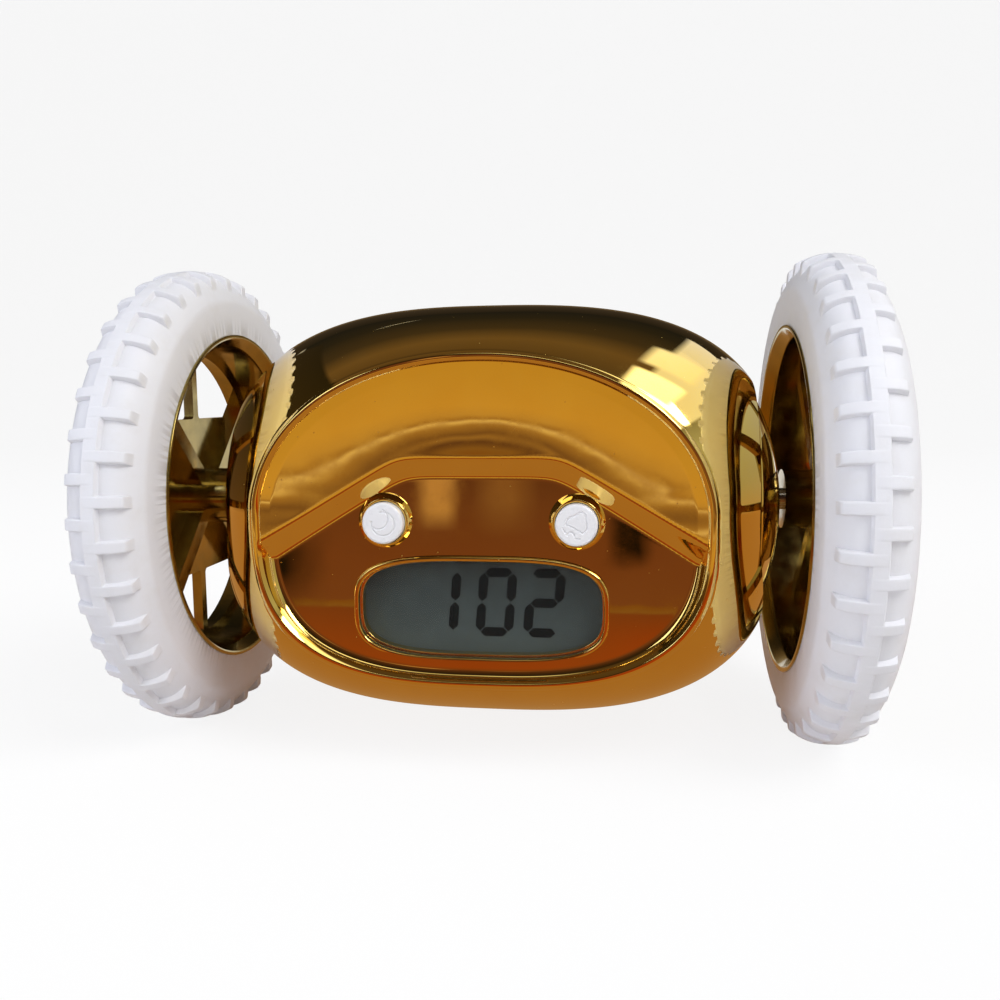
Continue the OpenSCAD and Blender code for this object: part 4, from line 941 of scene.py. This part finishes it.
def bump(tree, shader, height, strength, distance_mm):
    """Feeds a height into the shader's normal."""
    item = node(tree, "ShaderNodeBump", {"Height": height, "Strength": strength,
                                         "Distance": distance_mm * MM})
    tree.links.new(item.outputs[0], shader.inputs["Normal"])


def gold_plating(colours):
    """Mirror-gold vacuum plating on ABS under clear lacquer: a sharp reflection, with the slight
    swimming of moulded plastic every few millimetres, faint wipe marks and specks of dust."""
    material, tree, shader, place = surface("gold_vacuum_plating", Metallic=1.0, **{
        "Coat Weight": 1.0, "Coat Roughness": 0.02})
    tone = blotch(tree, place, 9.0, 2.0)
    deep = tuple(c * f for c, f in zip(colours.gold, (0.98, 0.95, 0.88)))
    paint(tree, shader, tone, tuple(colours.gold), deep)
    wipe = blotch(tree, place, 5.0, 4.0, 0.7)
    dust = node(tree, "ShaderNodeTexVoronoi", {"Vector": place, "Scale": per_metre(2.6)}
                ).outputs["Distance"]
    speck = spread(tree, dust, 0.035, 0.06, 0.4, 0.0)
    rough = node(tree, "ShaderNodeMath", {0: spread(tree, wipe, 0.45, 0.8, 0.03, 0.1), 1: speck},
                 operation="ADD").outputs[0]
    tree.links.new(rough, shader.inputs["Roughness"])
    bump(tree, shader, blotch(tree, place, 7.0, 1.0), 0.25, 0.06)
    return material


def shaded_hub_plating(colours):
    """The hubs' plating, which the lacquer hardly reaches: duller and softly blurred, with the cloudiness
    of moulded plastic under thin metal. Its colour is the gold darkened and browned, which is painted
    shade."""
    material, tree, shader, place = surface("hub_plating_painted_shade", Metallic=1.0, **{"Coat Weight": 0.3})
    tone = blotch(tree, place, 6.0, 3.0)
    # Painted shade: the gold darkened to about half and browned, for the hubs inside the tyres.
    base = tuple(c * f for c, f in zip(colours.gold, (0.46, 0.48, 0.58)))
    olive = tuple(c * f for c, f in zip(colours.gold, (0.37, 0.4, 0.5)))
    paint(tree, shader, tone, base, olive)
    cloud = blotch(tree, place, 3.0)
    tree.links.new(spread(tree, cloud, 0.3, 0.7, 0.1, 0.22), shader.inputs["Roughness"])
    bump(tree, shader, blotch(tree, place, 4.0, 2.0), 0.3, 0.06)
    return material


def white_rubber(colours):
    """Moulded white silicone rubber: satin, a fine sparked grain, and a little handling grime."""
    material, tree, shader, place = surface("moulded_silicone_rubber", Roughness=0.5, **{
        "Specular IOR Level": 0.35})
    grime = spread(tree, blotch(tree, place, 6.0, 5.0, 0.65), 0.5, 0.78, 0.0, 0.32)
    warm = tuple(c * f for c, f in zip(colours.rubber, (0.86, 0.83, 0.77)))
    tree.links.new(blend(tree, grime, tuple(colours.rubber), warm), shader.inputs["Base Color"])
    grain = blotch(tree, place, 0.35, 3.0, 0.7)
    wave = blotch(tree, place, 4.0, 2.0)
    height = node(tree, "ShaderNodeMath", {0: grain, 1: wave}, operation="ADD").outputs[0]
    bump(tree, shader, height, 0.35, 0.05)
    return material


def button_plastic(colours):
    """Semi-gloss moulded white ABS, with the faint grain of a polished mould."""
    material, tree, shader, place = surface("polished_white_abs", **{"Coat Weight": 0.2})
    tone = spread(tree, blotch(tree, place, 3.0), 0.4, 0.7, 0.0, 0.12)
    grey = tuple(c * 0.85 for c in colours.plastic)
    tree.links.new(blend(tree, tone, tuple(colours.plastic), grey), shader.inputs["Base Color"])
    cloud = blotch(tree, place, 1.2)
    tree.links.new(spread(tree, cloud, 0.3, 0.7, 0.24, 0.36), shader.inputs["Roughness"])
    bump(tree, shader, blotch(tree, place, 0.6), 0.12, 0.02)
    return material


def clear_window(colours):
    """Clear acrylic window: almost nothing of its own but a sharp reflection and fine dust."""
    material, tree, shader, place = surface("clear_acrylic", IOR=1.49, **{
        "Coat Weight": 1.0, "Coat Roughness": 0.02})
    shader.inputs["Base Color"].default_value = (*colours.window, 1)
    dust = node(tree, "ShaderNodeTexVoronoi", {"Vector": place, "Scale": per_metre(1.4)}
                ).outputs["Distance"]
    tree.links.new(spread(tree, dust, 0.03, 0.06, 0.25, 0.02), shader.inputs["Alpha"])
    wipe = blotch(tree, place, 3.0)
    tree.links.new(spread(tree, wipe, 0.4, 0.7, 0.03, 0.12), shader.inputs["Roughness"])
    return material


def crystal_ground(colours):
    """Liquid crystal on its grey reflector: a cloudy grey-green ground, with painted shade that darkens
    it towards its top.
    """
    material, tree, shader, place = surface("liquid_crystal_ground", Roughness=0.4, **{
        "Specular IOR Level": 0.12})
    axes = node(tree, "ShaderNodeSeparateXYZ", {0: place})
    display = (BEZEL_LOW[2] + BEZEL_HIGH[2]) / 2 + AXLE_H
    # Painted shade: darker from below the display's middle up to its top edge, under the bezel.
    up = spread(tree, axes.outputs[2], (display - 6) * MM, (display + 7.5) * MM, 0.0, 1.0)
    low = tuple(c * f for c, f in zip(colours.display, (1.12, 1.12, 1.12)))
    top = tuple(c * f for c, f in zip(colours.display, (0.62, 0.62, 0.6)))
    shade = blend(tree, up, low, top)
    cloud = spread(tree, blotch(tree, place, 7.0, 3.0), 0.45, 0.75, 0.0, 0.5)
    haze = blend(tree, cloud, shade, tuple(min(1, c * 1.35) for c in colours.display))
    tree.links.new(haze, shader.inputs["Base Color"])
    return material


def paint(tree, shader, tone, first, second):
    """Colours a finish by a blotch: the first colour where it is low, the second where it is high."""
    tree.links.new(blend(tree, spread(tree, tone, 0.35, 0.65, 0.0, 1.0), first, second),
                   shader.inputs["Base Color"])


def plain_finish(name, tint, roughness, size, depth=0.02, metal=0.0, shade=0.8, **more):
    """A plain workshop finish: its colour varies a little with a noise of a size in millimetres,
    its roughness with a finer one, and the same noise lifts the surface slightly."""
    material, tree, shader, place = surface(name, Metallic=metal, **more)
    tone = blotch(tree, place, size)
    darker = tuple(c * shade for c in tint)
    tree.links.new(blend(tree, spread(tree, tone, 0.3, 0.7, 0.0, 1.0), tuple(tint), darker),
                   shader.inputs["Base Color"])
    fine = blotch(tree, place, size / 4)
    tree.links.new(spread(tree, fine, 0.3, 0.7, roughness - 0.06, roughness + 0.06),
                   shader.inputs["Roughness"])
    bump(tree, shader, fine, 0.2, depth)
    return material


def brushed_steel(colours):
    """Nickel-plated steel of pins, screws and contacts, drawn lengthwise along X."""
    material, tree, shader, place = surface("nickel_plated_steel", Metallic=1.0)
    shader.inputs["Base Color"].default_value = (*colours.steel, 1)
    stretched = node(tree, "ShaderNodeMapping", {"Vector": place, "Scale": (0.08, 1, 1)}).outputs[0]
    lines = blotch(tree, stretched, 0.3, 2.0)
    tree.links.new(spread(tree, lines, 0.3, 0.7, 0.16, 0.32), shader.inputs["Roughness"])
    bump(tree, shader, lines, 0.15, 0.01)
    return material


# ---------------------------------------------------------------- stage

CAMERA = {"at": (24.27, -177.82, 64.76), "right": (0.9907, 0.136, -0.009),
          "up": (-0.0068, 0.1158, 0.9932), "ahead": (-0.1361, 0.9839, -0.1157), "lens": 33.19}


def seen_ray(tree):
    """1 for rays from the camera, a mirror or glass, and 0 for rays that carry light."""
    ray = node(tree, "ShaderNodeLightPath").outputs
    seen = node(tree, "ShaderNodeMath", {0: ray["Is Camera Ray"], 1: ray["Is Glossy Ray"]},
                operation="MAXIMUM").outputs[0]
    return node(tree, "ShaderNodeMath", {0: seen, 1: ray["Is Transmission Ray"]},
                operation="MAXIMUM").outputs[0]


def background_material(name, colour_value):
    """Matt paint that the camera, mirrors and glass see as plain white, and that still takes the
    object's shadow: the lit paint is lifted to white wherever no shadow falls on it."""
    material = bpy.data.materials.new(name)
    material.use_nodes = True
    tree = material.node_tree
    tree.nodes.clear()
    paint = node(tree, "ShaderNodeBsdfDiffuse", {"Color": (*colour_value, 1), "Roughness": 1.0})
    glow = node(tree, "ShaderNodeEmission", {"Color": (1, 1, 1, 1), "Strength": 1.0})
    part = node(tree, "ShaderNodeMath", {0: seen_ray(tree), 1: 0.86}, operation="MULTIPLY")
    mix = node(tree, "ShaderNodeMixShader", {0: part.outputs[0], 1: paint.outputs[0], 2: glow.outputs[0]})
    out = node(tree, "ShaderNodeOutputMaterial")
    tree.links.new(mix.outputs[0], out.inputs[0])
    return material


def card(name, middle, across, upward, stops, strength, soft):
    """A glowing card that only mirrors see and that paints a reflection into the plating: a flat
    sheet, shaded from foot to head by the stops, whose glow fades out over a soft border."""
    middle, across, upward = (np.array(v, float) for v in (middle, across, upward))
    u, v = np.meshgrid([-1.0, 1.0], [-1.0, 1.0], indexing="ij")
    points, quads = grid(middle + u[..., None] * across + v[..., None] * upward)
    mesh = bpy.data.meshes.new(name)
    mesh.from_pydata(points * MM, [], quads)
    plan = mesh.uv_layers.new(name="plan")
    plan.data.foreach_set("uv", (np.stack([u, v], -1).reshape(-1, 2)[quads.ravel()] / 2 + 0.5).ravel())
    item = bpy.data.objects.new(name, mesh)
    bpy.context.scene.collection.objects.link(item)
    for flag in ("visible_camera", "visible_diffuse", "visible_shadow", "visible_transmission",
                 "visible_volume_scatter"):
        setattr(item, flag, False)
    material = bpy.data.materials.new(name)
    material.use_nodes = True
    tree = material.node_tree
    tree.nodes.clear()
    plan = node(tree, "ShaderNodeUVMap", uv_map="plan").outputs[0]
    axes = node(tree, "ShaderNodeSeparateXYZ", {0: plan})

    def border(socket):
        centred = node(tree, "ShaderNodeMath", {0: socket, 1: 0.5}, operation="SUBTRACT").outputs[0]
        away = node(tree, "ShaderNodeMath", {0: centred}, operation="ABSOLUTE").outputs[0]
        return spread(tree, away, 0.5 - soft, 0.5, 1.0, 0.0)

    share = node(tree, "ShaderNodeMath", {0: border(axes.outputs[0]), 1: border(axes.outputs[1])},
                 operation="MULTIPLY").outputs[0]
    ramp = node(tree, "ShaderNodeValToRGB", {0: axes.outputs[1]})
    while len(ramp.color_ramp.elements) < len(stops):
        ramp.color_ramp.elements.new(0.5)
    for element, (at, code) in zip(ramp.color_ramp.elements, stops):
        element.position, element.color = at, (*linear(code), 1)
    # Painted reflection: a glow that is no lamp and that only mirror rays see.
    glow = node(tree, "ShaderNodeEmission", {"Color": ramp.outputs[0], "Strength": strength})
    clear = node(tree, "ShaderNodeBsdfTransparent")
    mix = node(tree, "ShaderNodeMixShader", {0: share, 1: clear.outputs[0], 2: glow.outputs[0]})
    out = node(tree, "ShaderNodeOutputMaterial")
    tree.links.new(mix.outputs[0], out.inputs[0])
    mesh.materials.append(material)
    return item


# Glowing cards that only mirrors see and that paint the plating's reflections, each with its middle,
# two half edges, stops from foot to head, strength and soft border: painted reflections of a tan table,
# a brown front, dark flags and a bright window at the right.
PAINTED_REFLECTION_CARDS = {
    "table_card": ((0, -150, 0.6), (680, 0, 0), (0, -450, 0), [
        (0.0, "#BC8C54"), (0.267, "#AD7F4A"), (0.4, "#A87A45"), (0.5, "#BF954C"), (0.544, "#C49C4C"),
        (0.611, "#CCA255"), (0.639, "#C29B5A"), (0.652, "#9C7440"), (0.66, "#E6CBA0"),
        (0.674, "#A47E4C"), (0.717, "#765539"), (0.742, "#9A764B"), (0.778, "#614231"),
        (0.844, "#866239"), (0.933, "#815527"), (1.0, "#764B31")], 1.0, 0.003),
    "sill_card": ((-10, -90, 12.5), (170, 0, 0), (0, 0, 12.5), [
        (0.0, "#A4441A"), (0.6, "#8E4A24"), (1.0, "#7A4428")], 1.0, 0.02),
    "sill_card_2": ((76, -89, 12.5), (60, 0, 0), (0, 0, 12.5), [
        (0.0, "#B8430F"), (1.0, "#90400F")], 1.0, 0.25),
    "front_card": ((0, -560, 290), (600, 0, 0), (0, 0, 320), [
        (0.0, "#7A4C35"), (0.1, "#74452F"), (0.16, "#6C4230"), (0.22, "#5A3728"), (0.5, "#3A2A20"),
        (1.0, "#2A2018")], 1.0, 0.004),
    "back_card": ((0, 720, 340), (760, 0, 0), (0, 0, 270), [
        (0.0, "#A58C62"), (0.25, "#6E5A3C"), (0.5, "#3A3023"), (1.0, "#26221B")], 1.0, 0.02),
    "rim_light_card": ((170, -345, 560), (330, 0, 0), (0, -70, 0), [
        (0.0, "#FFFFFF"), (1.0, "#FFFFFF")], 1.6, 0.2),
    "front_pale_card": ((-117, -556, 84), (17, 0, 0), (0, 0, 32), [
        (0.0, "#C09870"), (1.0, "#B98C66")], 1.0, 0.3),
    "front_pale_card_2": ((-66, -556, 84), (26, 0, 0), (0, 0, 34), [
        (0.0, "#8A6448"), (1.0, "#82583C")], 1.0, 0.4),
    "front_dark_card": ((-214, -470, 30), (44, 0, 0), (0, 0, 34), [
        (0.0, "#1A140F"), (1.0, "#1E1610")], 1.0, 0.4),
    "front_dark_card_2": ((27, -556, 52), (18, 0, 0), (0, 0, 26), [
        (0.0, "#1A120C"), (1.0, "#1E1610")], 1.0, 0.3),
    "ceiling_card": ((-150, 60, 600), (520, 0, 0), (0, 760, 0), [
        (0.0, "#33291F"), (0.4, "#5C4A36"), (0.5, "#6B563C"), (0.6, "#40362A"), (0.75, "#2A261F"),
        (1.0, "#1C1B17")], 1.0, 0.03),
    "left_card": ((-440, -60, 260), (0, 520, 0), (0, 0, 260), [
        (0.0, "#5A4228"), (0.4, "#3A3020"), (1.0, "#28231A")], 1.0, 0.04),
    "right_card": ((450, 0, 190), (0, 560, 0), (0, 0, 190), [
        (0.0, "#B59A70"), (0.3, "#A9A48E"), (0.7, "#B4B6A6"), (1.0, "#8E8B7A")], 1.0, 0.03),
    "window_card": ((262, -62, 404), (0, 74, 0), (-57, 0, 43), [
        (0.0, "#FFFDF2"), (1.0, "#FFFFFF")], 2.2, 0.12),
    "window_card_2": ((262, 108, 404), (0, 74, 0), (-57, 0, 43), [
        (0.0, "#F4F0DC"), (1.0, "#FFFFFF")], 1.3, 0.15),
    "ceiling_streak_card": ((-149, 229, 336), (30, 22, 0), (-3, 4, 6), [
        (0.0, "#D8DCE4"), (1.0, "#FFFFFF")], 1.0, 0.3),
}


def lamp(name, at, aim, size, power, tint="#FFFFFF"):
    """A soft rectangular lamp that points from a place to a place, both in millimetres."""
    data = bpy.data.lights.new(name, "AREA")
    data.shape, data.size, data.size_y = "RECTANGLE", size[0] * MM, size[1] * MM
    data.energy, data.color = power, linear(tint)
    item = bpy.data.objects.new(name, data)
    bpy.context.scene.collection.objects.link(item)
    at, aim = Vector(at) * MM, Vector(aim) * MM
    item.location = at
    item.rotation_euler = (aim - at).to_track_quat("-Z", "Y").to_euler()
    return item


def make_stage(colours):
    """Pale floor that curves up into a backdrop, soft lamps, glowing cards that paint reflections into
    the plating, and the camera.
    """
    bend = np.linspace(0, math.pi / 2, 10)
    y = np.concatenate([[-2500.0], np.linspace(-600, 900, 4), 900 + 500 * np.sin(bend), [1400.0]])
    z = np.concatenate([np.zeros(5), 500 * (1 - np.cos(bend)), [2200.0]])
    x = np.array([-2500.0, 2500.0])
    p = np.stack([x[:, None] + 0 * y, y + 0 * x[:, None], z + 0 * x[:, None] - AXLE_H], -1)
    floor = build("floor", [grid(p)], tidy=False)
    floor.data.materials.append(background_material("matt_white_sweep", tuple(colours.floor)))
    cards = [card(name, *values) for name, values in PAINTED_REFLECTION_CARDS.items()]
    world = bpy.data.worlds.new("studio")
    bpy.context.scene.world = world
    world.use_nodes = True
    tree = world.node_tree
    tree.nodes.clear()
    level = spread(tree, seen_ray(tree), 0.0, 1.0, 0.5, 1.0)
    sky = node(tree, "ShaderNodeBackground", {"Color": (1, 1, 1, 1), "Strength": level})
    out = node(tree, "ShaderNodeOutputWorld")
    tree.links.new(sky.outputs[0], out.inputs[0])
    lamp("key", (430, -300, 560), (0, 0, 40), (380, 380), 2.9)
    lamp("fill", (-480, -360, 260), (0, 0, 40), (420, 420), 1.3, "#E4ECFF")
    data = bpy.data.cameras.new("view")
    data.lens, data.sensor_width, data.sensor_fit = CAMERA["lens"], 36.0, "HORIZONTAL"
    data.clip_start = 0.01
    camera = bpy.data.objects.new("view", data)
    bpy.context.scene.collection.objects.link(camera)
    right, up, ahead = (Vector(CAMERA[k]).normalized() for k in ("right", "up", "ahead"))
    turn = Matrix((right, up, -ahead)).transposed().to_4x4()
    camera.matrix_world = Matrix.Translation(Vector(CAMERA["at"]) * MM) @ turn
    bpy.context.scene.camera = camera
    bpy.context.scene.view_settings.view_transform = "Standard"


def segment_ink(colours):
    """Dark liquid crystal between polarisers: flat black with hardly any gloss of its own."""
    return plain_finish("liquid_crystal_segments", colours.ink, 0.5, 2.0, **{"Specular IOR Level": 0.04})


def black_abs(colours):
    """Black ABS from a lightly sparked mould: an even satin with a fine grain."""
    return plain_finish("moulded_black_abs", colours.dark, 0.45, 1.5)


def strip_rubber(colours):
    """Layered contact rubber cut from a block: dull pink, a little uneven."""
    return plain_finish("conductive_rubber_strip", colours.strip, 0.7, 0.8)


def solder_mask(colours):
    """Screened solder mask on a circuit board: glossy green that pools a little darker."""
    return plain_finish("green_solder_mask", colours.board, 0.35, 5.0)


def natural_nylon(colours):
    """Moulded nylon without pigment: milky white with a soft sheen."""
    return plain_finish("natural_nylon", colours.nylon, 0.45, 2.0)


def zinc_plate(colours):
    """Drawn steel can under zinc: grey metal with cloudy patches."""
    return plain_finish("zinc_plated_can", colours.zinc, 0.28, 3.0, metal=1.0)


def shrink_sleeve(colours):
    """Printed film shrunk round a cell: smooth, glossy and slightly uneven in tone."""
    return plain_finish("shrink_sleeve", colours.sleeve, 0.3, 4.0)


# The finish of each slot, and of the hubs, whose plating is duller than their slot's and painted darker
# and browner as painted shade.
FINISHES = {
    "gold_plating": gold_plating, "shaded_hub_plating": shaded_hub_plating, "white_rubber": white_rubber,
    "white_plastic": button_plastic, "clear_window": clear_window, "lcd_glass": crystal_ground,
    "lcd_ink": segment_ink, "dark_plastic": black_abs, "contact_rubber": strip_rubber,
    "circuit_board": solder_mask, "nylon": natural_nylon, "steel": brushed_steel,
    "motor_can": zinc_plate, "cell_sleeve": shrink_sleeve}
MADE = {}


def look(name):
    """A finish by its slot's name, made when it is first asked for."""
    if name not in MADE:
        MADE[name] = FINISHES[name](bpy.context.scene.clock_finishes)
    return MADE[name]


# ---------------------------------------------------------------- operators

SIDES = (("left", -1), ("right", 1))


class CLOCK_OT_stage(Operator):
    """Pale floor and backdrop, soft lamps, glowing cards that paint reflections into the plating, and the
    camera
    """
    bl_idname = "clock.stage"
    bl_label = "Stage"

    def execute(self, context):
        make_stage(context.scene.clock_finishes)
        return {"FINISHED"}


class CLOCK_OT_works(Operator):
    """Finishes of the works: boards, motors, gears, cells, display glass and fasteners"""
    bl_idname = "clock.works"
    bl_label = "Works"

    def execute(self, context):
        slots = {part["node"]: part["material_slot"] for part in frame["record"]["subparts"]}
        for name, solid in frame["nodes"].items():
            for item in [solid] if solid.type == "MESH" else solid.children_recursive:
                if item.type == "MESH":
                    item.data.materials.clear()
                    item.data.materials.append(look(slots[name]))
        return {"FINISHED"}


class CLOCK_OT_front_casing(Operator):
    """Plated front shell with the dished dial, its brow and its button collars"""
    bl_idname = "clock.front_casing"
    bl_label = "Front casing"

    def execute(self, context):
        piece = make_front_casing(context.scene.clock_body, context.scene.clock_dial)
        finish(piece, look("gold_plating"), "case", "gold_plating", "front_shell")
        return {"FINISHED"}


class CLOCK_OT_rear_casing(Operator):
    """Plated rear shell with its flat panel, sound holes and screw wells"""
    bl_idname = "clock.rear_casing"
    bl_label = "Rear casing"

    def execute(self, context):
        piece = make_rear_casing(context.scene.clock_body)
        finish(piece, look("gold_plating"), "case", "gold_plating", "rear_shell")
        return {"FINISHED"}


class CLOCK_OT_screw_tubes(Operator):
    """Tubes that guide the case screws"""
    bl_idname = "clock.screw_tubes"
    bl_label = "Screw tubes"

    def execute(self, context):
        piece = make_screw_tubes(context.scene.clock_body)
        finish(piece, look("gold_plating"), "case", "gold_plating")
        return {"FINISHED"}


class CLOCK_OT_side_caps(Operator):
    """Domed caps over the round side openings"""
    bl_idname = "clock.side_caps"
    bl_label = "Side caps"

    def execute(self, context):
        for name, side in SIDES:
            piece = make_side_cap(context.scene.clock_body, name + "_cap_dome", side)
            finish(piece, look("gold_plating"), "case", "gold_plating", name + "_side_cap")
        return {"FINISHED"}


class CLOCK_OT_battery_cover(Operator):
    """Cover of the battery opening"""
    bl_idname = "clock.battery_cover"
    bl_label = "Battery cover"

    def execute(self, context):
        piece = make_battery_cover(context.scene.clock_body)
        finish(piece, look("gold_plating"), "door", "gold_plating", "battery_door")
        return {"FINISHED"}


class CLOCK_OT_cover_screw(Operator):
    """Captive screw of the battery cover"""
    bl_idname = "clock.cover_screw"
    bl_label = "Cover screw"

    def execute(self, context):
        finish(make_cover_screw(), look("steel"), "door", "steel", "door_screw")
        return {"FINISHED"}


class CLOCK_OT_bezel(Operator):
    """Plated bezel round the display"""
    bl_idname = "clock.bezel"
    bl_label = "Bezel"

    def execute(self, context):
        finish(make_bezel(), look("gold_plating"), "case", "gold_plating", "display_bezel")
        return {"FINISHED"}


class CLOCK_OT_window(Operator):
    """Clear window over the display"""
    bl_idname = "clock.window"
    bl_label = "Window"

    def execute(self, context):
        finish(make_lens(), look("clear_window"), "case", "clear_window", "display_window")
        return {"FINISHED"}


class CLOCK_OT_digits(Operator):
    """Dark segments of the time"""
    bl_idname = "clock.digits"
    bl_label = "Digits"

    def execute(self, context):
        finish(make_digits(), look("lcd_ink"), "case", "lcd_ink", "lcd_segments")
        return {"FINISHED"}


class CLOCK_OT_front_buttons(Operator):
    """Two white front buttons with engraved icons"""
    bl_idname = "clock.front_buttons"
    bl_label = "Front buttons"

    def execute(self, context):
        seat = BEZEL_LOW[1] + 1.5 + context.scene.clock_body.wall + 0.3
        for name, strokes in (("snooze", MOON), ("alarm", BELL)):
            shape = button_grid(name + "_button", 3.5, strokes, True, seat, 1.6)
            finish(build(name + "_button_cap", [shape], 60), look("white_plastic"), name + "_key",
                   "white_plastic", name + "_button")
        return {"FINISHED"}


class CLOCK_OT_rear_buttons(Operator):
    """Four plain setting buttons in the rear panel"""
    bl_idname = "clock.rear_buttons"
    bl_label = "Rear buttons"

    def execute(self, context):
        body = context.scene.clock_body
        seat = body.rear - body.wall - 0.3
        for name in REAR_BUTTONS:
            shape = button_grid(name + "_button", 2.6, [], False, seat, 1.6)
            finish(build(name + "_button_cap", [shape], 60), look("white_plastic"), name + "_key",
                   "white_plastic", name + "_button")
        return {"FINISHED"}


class CLOCK_OT_run_knob(Operator):
    """Ribbed knob of the slide switch"""
    bl_idname = "clock.run_knob"
    bl_label = "Run knob"

    def execute(self, context):
        finish(make_run_knob(), look("dark_plastic"), "run_slider", "dark_plastic", "run_knob")
        return {"FINISHED"}


class CLOCK_OT_tyres(Operator):
    """Rubber tyres with a rib between two rows of lugs"""
    bl_idname = "clock.tyres"
    bl_label = "Tyres"

    def execute(self, context):
        for name, side in SIDES:
            tyre = build(name + "_tyre_rubber", [tyre_grid(context.scene.clock_wheels, side)], 45)
            finish(tyre, look("white_rubber"), name + "_wheel", "white_rubber", name + "_tyre")
        return {"FINISHED"}


class CLOCK_OT_hubs(Operator):
    """Plated hubs with windowed webs"""
    bl_idname = "clock.hubs"
    bl_label = "Hubs"

    def execute(self, context):
        for name, side in SIDES:
            hub = make_hub(context.scene.clock_wheels, name + "_hub_casting", side)
            # The hubs take the darker copy of the gold plating, which is painted shade.
            finish(hub, look("shaded_hub_plating"), name + "_wheel", "gold_plating", name + "_hub")
        return {"FINISHED"}


class CLOCK_OT_axle_caps(Operator):
    """Caps over the axles' ends"""
    bl_idname = "clock.axle_caps"
    bl_label = "Axle caps"

    def execute(self, context):
        for name, side in SIDES:
            cap = make_hub_cap(name + "_axle_cap", side)
            finish(cap, look("gold_plating"), name + "_wheel", "gold_plating", name + "_hub_cap")
        return {"FINISHED"}


OPERATORS = (
    CLOCK_OT_stage, CLOCK_OT_works, CLOCK_OT_front_casing, CLOCK_OT_rear_casing,
    CLOCK_OT_screw_tubes, CLOCK_OT_side_caps, CLOCK_OT_battery_cover, CLOCK_OT_cover_screw,
    CLOCK_OT_bezel, CLOCK_OT_window, CLOCK_OT_digits, CLOCK_OT_front_buttons,
    CLOCK_OT_rear_buttons, CLOCK_OT_run_knob, CLOCK_OT_tyres, CLOCK_OT_hubs, CLOCK_OT_axle_caps)
GROUPS = {"clock_body": BodySizes, "clock_dial": DialSizes, "clock_wheels": WheelSizes,
          "clock_finishes": Finishes}


class CLOCK_PT_panel(Panel):
    """Lists the clock's operators and sizes"""
    bl_idname = "CLOCK_PT_panel"
    bl_label = "Runaway alarm clock"
    bl_space_type = "VIEW_3D"
    bl_region_type = "UI"
    bl_category = "Clock"

    def draw(self, context):
        for operator in OPERATORS:
            self.layout.operator(operator.bl_idname, text=operator.bl_label)
        for name, group in GROUPS.items():
            box = self.layout.box()
            for key in group.__annotations__:
                box.prop(getattr(context.scene, name), key)


def register():
    for cls in (*GROUPS.values(), *OPERATORS, CLOCK_PT_panel):
        bpy.utils.register_class(cls)
    for name, group in GROUPS.items():
        setattr(bpy.types.Scene, name, PointerProperty(type=group))


def unregister():
    for name in GROUPS:
        delattr(bpy.types.Scene, name)
    for cls in reversed((*GROUPS.values(), *OPERATORS, CLOCK_PT_panel)):
        bpy.utils.unregister_class(cls)


def main():
    """Builds the clock."""
    register()
    for operator in OPERATORS:
        group, name = operator.bl_idname.split(".")
        if getattr(getattr(bpy.ops, group), name)() != {"FINISHED"}:
            raise RuntimeError(operator.bl_label + " could not be made")


if __name__ == "__main__":
    main()
